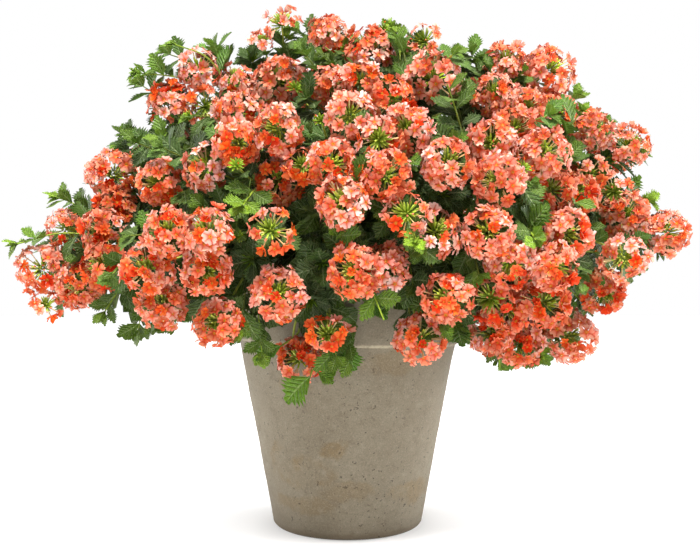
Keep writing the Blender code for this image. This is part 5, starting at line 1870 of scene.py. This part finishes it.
def add_hanging(bag, bx, by, tx, ty, widen, new, r):
    far = 0.752 if bx < 365 else 0.715
    a = EYE + sight(bx, by) * far
    b = EYE + sight(tx, ty) * (far - 0.004)
    for _ in range(40):
        if min(clear_of_pot(a, 0.001), clear_of_pot(b, 0.001), clear_of_pot(a.lerp(b, 0.5), 0.001)) > 0.004:
            break
        a, b = a - sight(bx, by) * 0.002, b - sight(tx, ty) * 0.002
    base, tip = np3(a), np3(b)
    along = unit(tip - base)
    face = -np3(sight(bx, by)) + np.array((r.uniform(-0.3, 0.3), 0.0, 0.45))
    face = unit(face - along * np.dot(face, along))
    tint = LEAF_MID * (1 - new) * np.array((0.85, 1.0, 0.6)) + LEAF_NEW * new
    add_leaf(bag, base, along, face, float(np.linalg.norm(tip - base)), tint, LEAVES[r.randrange(len(LEAVES))], widen)
    # its stalk runs up behind the heads to the nearest stem
    best = None
    goal = a + Vector((0.012, 0.050, 0.014))
    for name_, pts, r_ in paths:
        for e, g in zip(pts, pts[1:]):
            for t in (0.2, 0.4, 0.6, 0.8):
                c = e.lerp(g, t)
                if best is None or (c - goal).length < best[0]:
                    best = ((c - goal).length, c)
    way = catmull([best[1], a.lerp(best[1], 0.40) + Vector((0.008, 0.010, -0.002)), a], 4)
    add_tube(bag, way, [0.0011] * (len(way) - 1) + [0.0007], 4, STALK, M_STALK, 2.0, STALK * 0.5 + LEAF_NEW * 0.3)


front_low = min((h for h in heads if h.kind in "mo"), key=lambda h: (h.p - (EYE + sight(298, 360) * 0.75)).length)
HANG_ON = names.index(front_low.node)
total_tris = 0
core_rnd = random.Random(55)
for k, name in enumerate(names):
    r = random.Random(9000 + k)
    bag = Bag()
    pts, rad = trunks[k]
    path = catmull(pts, 4)
    n = len(path)
    for i in range(90):
        # painted shade: dark leaves along the stem and its forks, deep inside the mound
        line_ = path if i % 3 == 0 else catmull(by_node[name][i % len(by_node[name])].route, 4)
        at = line_[core_rnd.randrange(len(line_) // 3, len(line_))]
        level = bulk(Vector(at))
        if level > 0.62 or at[2] < RIM_Z + 0.012:
            continue
        d = unit(np.array((core_rnd.uniform(-1, 1), core_rnd.uniform(-1, 1), core_rnd.uniform(-0.6, 0.8))))
        size = core_rnd.uniform(0.022, 0.034)
        tip = Vector(at + d * size)
        if bulk(tip) > 0.74 or clear_of_pot(tip, 0.001) < 0.002 or leaf_in_head(np3(tip), at + d * size * 0.5):
            continue
        face = np3(outward(Vector(at))) + np.array((core_rnd.uniform(-1, 1), core_rnd.uniform(-1, 1), core_rnd.uniform(-1, 1))) * 0.5
        face = face - d * np.dot(face, d)
        if np.linalg.norm(face) < 0.2:
            continue
        add_leaf(bag, at, d, unit(face), size, LEAF_DARK * np.array((0.40, 0.40, 0.12)) * core_rnd.uniform(0.6, 1.9), CORE_LEAVES[i % 6], 1.2)
        leaf_count[2] += 1
    widths = np.array([STEM_R_BASE + (STEM_R_FORK - STEM_R_BASE) * i / (n - 1) for i in range(n)]) * 0.80
    widths *= 1 + 0.10 * np.sin(np.arange(n) * 1.3)
    add_tube(bag, path, widths, 6, STALK_DARK, M_STALK, 6.0, STALK)
    # leaf pairs up the stem
    quarter = r.uniform(0, math.pi)
    for i in range(int(n * 0.30), n - 1, 2):
        d = unit(path[min(i + 1, n - 1)] - path[i - 1])
        f = basis(d, quarter)
        quarter += math.pi / 2 + r.uniform(-0.2, 0.2)
        for sgn in (1, -1):
            try_leaf(bag, path[i], d, f[:, 0] * sgn, r.uniform(0.026, 0.036), r)
    for route in sprigs.get(name, []):
        add_sprig(bag, route, r)
    for route in edge_sprigs.get(name, []):
        add_sprig(bag, route, r, True)
    for h in sorted(by_node[name], key=lambda h: -h.r):
        line = catmull([h.route[0], h.route[1], h.route[2]], 6)
        m = len(line)
        w0 = min(PEDUNCLE_R * 1.25, STEM_R_FORK * 0.86)
        ww = [w0 * 0.85 + (PEDUNCLE_R * 0.72 - w0 * 0.85) * i / (m - 1) for i in range(m)]
        add_tube(bag, line, ww, 5, STALK, M_STALK, 3.0, STALK * 0.6 + CALYX_NEW * 0.4)
        span = np.linalg.norm(line[-1] - line[0])
        quarter = r.uniform(0, math.pi)
        count = max(2, int(span / 0.024))
        for j in range(count):
            t = 0.10 + 0.76 * (j + 0.5) / count
            if (1 - t) * span < 0.016:
                continue
            at = t * (m - 1)
            i0 = min(int(at), m - 2)
            base = line[i0] + (line[i0 + 1] - line[i0]) * (at - i0)
            d = unit(line[i0 + 1] - line[i0])
            f = basis(d, quarter)
            quarter += math.pi / 2 + r.uniform(-0.2, 0.2)
            size = r.uniform(0.023, 0.034) * (1.0 - 0.25 * t)
            for sgn in (1, -1):
                try_leaf(bag, base, d, f[:, 0] * sgn, size, r, new=0.12 if r.random() < 0.2 else 0.0)
        add_head(bag, h, r)
    if k == HANG_ON:
        for leaf_ in HANGING:
            add_hanging(bag, *leaf_, r)
    ob = bag.build(name + "_bloom", MATS)
    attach(ob, "root")
    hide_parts(name)
    total_tris += sum(len(p.vertices) - 2 for p in ob.data.polygons)

# --------------------------------------------------------------------- the leafy shoots
# the shoots whose tips end inside the outline
CUT_BACK = {4: 0.86, 5: 0.86, 10: 0.78, 12: 0.80, 13: 0.72, 14: 0.74, 15: 0.80, 16: 0.80, 17: 0.50}
for k, (name, line) in enumerate(shoot_routes):
    r = random.Random(7000 + k)
    bag = Bag()
    path = catmull(line, 7)
    path = path[:max(6, int(round(len(path) * CUT_BACK.get(k + 1, 1.0))))]
    n = len(path)
    w = [SHOOT_R * 0.80 * (1 - 0.4 * i / (n - 1)) for i in range(n)]
    add_tube(bag, path, w, 5, STALK, M_STALK, 3.0, LEAF_NEW * 0.8)
    fresh = 0.25 + 0.45 * r.random()
    quarter = r.uniform(0, math.pi)
    span = np.linalg.norm(path[-1] - path[0])
    pairs = max(3, int(span / 0.014))
    for j in range(pairs):
        t = 0.22 + 0.74 * (j + 0.5) / pairs
        at = t * (n - 1)
        i0 = min(int(at), n - 2)
        base = path[i0] + (path[i0 + 1] - path[i0]) * (at - i0)
        d = unit(path[i0 + 1] - path[i0])
        f = basis(d, quarter)
        quarter += math.pi / 2
        size = (0.034 - 0.016 * t) * r.uniform(0.9, 1.1)
        for sgn in (1, -1):
            try_leaf(bag, base, d, f[:, 0] * sgn, size, r, new=fresh * t * t, limit=1.30, lean=0.6, beyond=0.09)
    d = unit(path[-1] - path[-2])
    f = basis(d, quarter)
    for j in range(6):
        a = j * 2.4
        side = f[:, 0] * math.cos(a) + f[:, 1] * math.sin(a)
        try_leaf(bag, path[-1] - d * 0.001 * j * 0.3, d, side * (0.9 - 0.12 * j), 0.017 - 0.0016 * j, r, new=fresh + 0.2, limit=1.40, lean=1.1, beyond=0.09)
    ob = bag.build(name + "_leaves", MATS)
    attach(ob, "root")
    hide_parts(name)
    total_tris += sum(len(p.vertices) - 2 for p in ob.data.polygons)

print("leaves", leaf_count, "plant triangles", total_tris)


# --------------------------------------------------------------------- pot, soil and crown
def lathe(name, rows, sides, mat, ripple):
    """A closed turned surface from (r, z) rows, each vertex moved by ripple(p) along its normal."""
    verts, faces = [], []
    n = len(rows)
    for r_, z_ in rows:
        for j in range(sides):
            a = 2 * math.pi * j / sides
            verts.append(ripple(r_, a, z_))
    for i in range(n - 1):
        for j in range(sides):
            k = (j + 1) % sides
            faces.append((i * sides + j, i * sides + k, (i + 1) * sides + k, (i + 1) * sides + j))
    first = len(verts)
    verts.append((0, 0, rows[0][1]))
    last = len(verts)
    verts.append((0, 0, rows[-1][1]))
    for j in range(sides):
        k = (j + 1) % sides
        faces.append((first, k, j))
        faces.append(((n - 1) * sides + j, (n - 1) * sides + k, last))
    me = bpy.data.meshes.new(name)
    me.from_pydata([tuple(v) for v in verts], [], faces)
    me.materials.append(mat)
    me.update()
    me.shade_smooth()
    ob = bpy.data.objects.new(name, me)
    bpy.context.scene.collection.objects.link(ob)
    return ob


def wobble(x, y, z, scale, seed):
    return mnoise.noise(Vector((x * scale + seed, y * scale - seed, z * scale + 2 * seed)))


SIDES = 168
rows = [(0.012, 0.0), (0.040, 0.0), (0.062, 0.0), (POT_FOOT_R - 0.0004, 0.0)]
for i in range(1, 8):                       # rounded foot edge
    a = math.pi / 2 * i / 8
    rows.append((POT_FOOT_R + (POT_EDGE_R - POT_FOOT_R) * math.sin(a), POT_EDGE_H * (1 - math.cos(a))))
steps = 56
for i in range(steps + 1):
    z = POT_EDGE_H + (BAND_Z - 0.0010 - POT_EDGE_H) * i / steps
    rows.append((pot_radius(z), z))
for dr, dz in ((0.0003, -0.0003), (0.0011, 0.0002), (0.0015, 0.0011)):
    rows.append((BAND_R_UNDER + dr, BAND_Z + dz))
for i in range(1, 17):
    z = BAND_Z + 0.0011 + (RIM_Z - 0.0030 - BAND_Z - 0.0011) * i / 16
    rows.append((pot_radius(z) + 0.0001, z))
for i in range(1, 7):                       # rounded rim
    a = math.pi / 2 * i / 6
    rows.append((RIM_R - 0.0030 + 0.0030 * math.cos(a), RIM_Z - 0.0030 + 0.0030 * math.sin(a)))
for i in range(0, 7):
    a = math.pi / 2 * i / 6
    rows.append((RIM_R - WALL + 0.0030 - 0.0030 * math.sin(a), RIM_Z - 0.0030 + 0.0030 * math.cos(a)))
for i in range(1, 12):
    z = RIM_Z - 0.003 + (SOIL_TOP_Z - 0.012 - RIM_Z + 0.003) * i / 11
    rows.append((pot_inner_radius(z), z))
for z in (0.16, 0.10, 0.05, FLOOR_Z):
    rows.append((pot_inner_radius(z), z))
rows.append((0.012, FLOOR_Z))


def pot_ripple(r_, a, z_):
    x, y = r_ * math.cos(a), r_ * math.sin(a)
    d = 0.00045 * wobble(x, y, z_, 22, 1.3) + 0.00022 * wobble(x, y, z_, 75, 4.1) + 0.00012 * wobble(x, y, z_, 210, 7.7)
    if z_ < 0.0015:
        d *= max(z_, 0) / 0.0015
    if z_ < BAND_Z + 0.02 and z_ > BAND_Z - 0.02:
        # the band's edge isn't quite level: it stands higher on the left
        w = max(0.0, 1 - abs(z_ - BAND_Z) / 0.02)
        z_ = z_ - 0.0032 * w * math.cos(a)
    rr = r_ + d
    return (rr * math.cos(a), rr * math.sin(a), z_)


pot_ob = lathe("pot_cast", rows, SIDES, MAT_CONCRETE, pot_ripple)
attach(pot_ob, "root")
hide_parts("pot")

soil_rows = [(0.004, FLOOR_Z + 0.001), (pot_inner_radius(FLOOR_Z) - 0.0015, FLOOR_Z + 0.001)]
for z in (0.08, 0.16, 0.215):
    soil_rows.append((pot_inner_radius(z) - 0.0012, z))
for i in range(26):
    t = i / 25
    r0 = pot_inner_radius(SOIL_TOP_Z) - 0.0010
    soil_rows.append((r0 * (1 - t) + 0.003 * t, SOIL_TOP_Z - 0.004 + 0.004 * min(t * 2, 1)))


def soil_ripple(r_, a, z_):
    x, y = r_ * math.cos(a), r_ * math.sin(a)
    if z_ > SOIL_TOP_Z - 0.01 and r_ < pot_inner_radius(SOIL_TOP_Z) - 0.003:
        z_ += 0.0016 * wobble(x, y, 0, 95, 3.3) + 0.0011 * wobble(x, y, 0, 260, 5.1) - 0.0012
    return (x, y, z_)


soil_ob = lathe("potting_soil_crumbs", soil_rows, 132, MAT_COMPOST, soil_ripple)
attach(soil_ob, "root")
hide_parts("potting_soil")

crown_rows = [(0.006, CROWN_LOW - 0.0004), (CROWN_R * 0.95, CROWN_LOW - 0.0004)]
for i in range(1, 12):
    a = math.pi / 2 * i / 12
    crown_rows.append((CROWN_R * (0.80 + 0.20 * math.cos(a)), CROWN_LOW + CROWN_H * math.sin(a)))
for i in range(1, 12):
    crown_rows.append((CROWN_R * 0.80 * (1 - i / 12), CROWN_TOP))


def crown_ripple(r_, a, z_):
    x, y = r_ * math.cos(a), r_ * math.sin(a)
    w = 0.0 if z_ < CROWN_LOW else 1.0
    z_ += w * (0.0016 * wobble(x, y, 0, 60, 8.0) - 0.0016)
    rr = r_ * (1 - 0.10 * w * (0.5 + 0.5 * math.sin(a * 7 + 1.0)))
    return (rr * math.cos(a), rr * math.sin(a), z_)


crown_ob = lathe("root_crown_bark", crown_rows, 84, MAT_BARK, crown_ripple)
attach(crown_ob, "root")
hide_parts("root_crown")

# --------------------------------------------------------------------- floor, light and camera
floor_me = bpy.data.meshes.new("floor")
S = 9.0
floor_me.from_pydata([(-S, -S, -0.0002), (S, -S, -0.0002), (S, S, -0.0002), (-S, S, -0.0002)], [], [(0, 1, 2, 3)])
floor = bpy.data.objects.new("floor", floor_me)
bpy.context.scene.collection.objects.link(floor)
fm, fnt, fb = new_material("pale_floor", (0.60, 0.60, 0.60))
fb.inputs["Roughness"].default_value = 0.8
fb.inputs["Specular IOR Level"].default_value = 0.2
fb.inputs["Emission Color"].default_value = (1.0, 1.0, 1.0, 1.0)
fb.inputs["Emission Strength"].default_value = 1.0
fgeo = fnt.nodes.new("ShaderNodeNewGeometry")
flen = fnt.nodes.new("ShaderNodeVectorMath")
flen.operation = "LENGTH"
fnt.links.new(fgeo.outputs["Position"], flen.inputs[0])
# painted shadow: the floor glows less close to the pot's foot, for a soft contact shadow round it, and evenly bright
# further out
fnt.links.new(ramp(fnt, math_node(fnt, "MULTIPLY", flen.outputs["Value"], 0.5), ((0.039, 0.37), (0.0475, 0.50), (0.055, 0.565), (0.065, 0.63), (0.085, 0.73), (0.30, 0.84))), fb.inputs["Emission Color"])
floor_me.materials.append(fm)

scene = bpy.context.scene
world = bpy.data.worlds.new("studio")
scene.world = world
world.use_nodes = True
bg = world.node_tree.nodes["Background"]
bg.inputs["Strength"].default_value = 1.0
# a white wall all round up to the height of the view, and a dimmer ceiling
wnt = world.node_tree
sky = wnt.nodes.new("ShaderNodeTexCoord")
sky_sep = wnt.nodes.new("ShaderNodeSeparateXYZ")
wnt.links.new(sky.outputs["Generated"], sky_sep.inputs[0])
wnt.links.new(ramp(wnt, sky_sep.outputs[2], ((0.42, 1.0), (0.60, 0.32))), bg.inputs["Color"])


def area_light(name, at, to, size, power, colour=(1, 1, 1)):
    d = bpy.data.lights.new(name, "AREA")
    d.shape = "RECTANGLE"
    d.size, d.size_y = size
    d.energy = power
    d.color = colour
    ob = bpy.data.objects.new(name, d)
    ob.location = at
    ob.rotation_euler = (Vector(to) - Vector(at)).to_track_quat("-Z", "Y").to_euler()
    bpy.context.scene.collection.objects.link(ob)
    return ob


area_light("key", (0.3, -1.2, 2.3), (0, 0, 0.30), (0.7, 0.7), 156.0, (1.0, 0.985, 0.96))
area_light("side_left", (-2.5, 0.8, 0.7), (0, 0, 0.25), (1.0, 1.4), 66.0)
area_light("side_right", (2.5, 0.8, 0.7), (0, 0, 0.25), (1.0, 1.4), 78.0)

cam_data = bpy.data.cameras.new("camera")
cam_data.sensor_width = 36.0
cam_data.lens = EYE_F / 700.0 * 36.0
cam_data.clip_start = 0.02
cam_data.clip_end = 60.0
cam = bpy.data.objects.new("camera", cam_data)
cam.location = EYE
cam.rotation_euler = (math.radians(90) + EYE_TILT, 0, 0)
scene.collection.objects.link(cam)
scene.camera = cam
scene.view_settings.view_transform = "Standard"
scene.view_settings.look = "None"
scene.view_settings.exposure = 0.0
scene.view_settings.gamma = 1.0

bpy.context.view_layer.update()
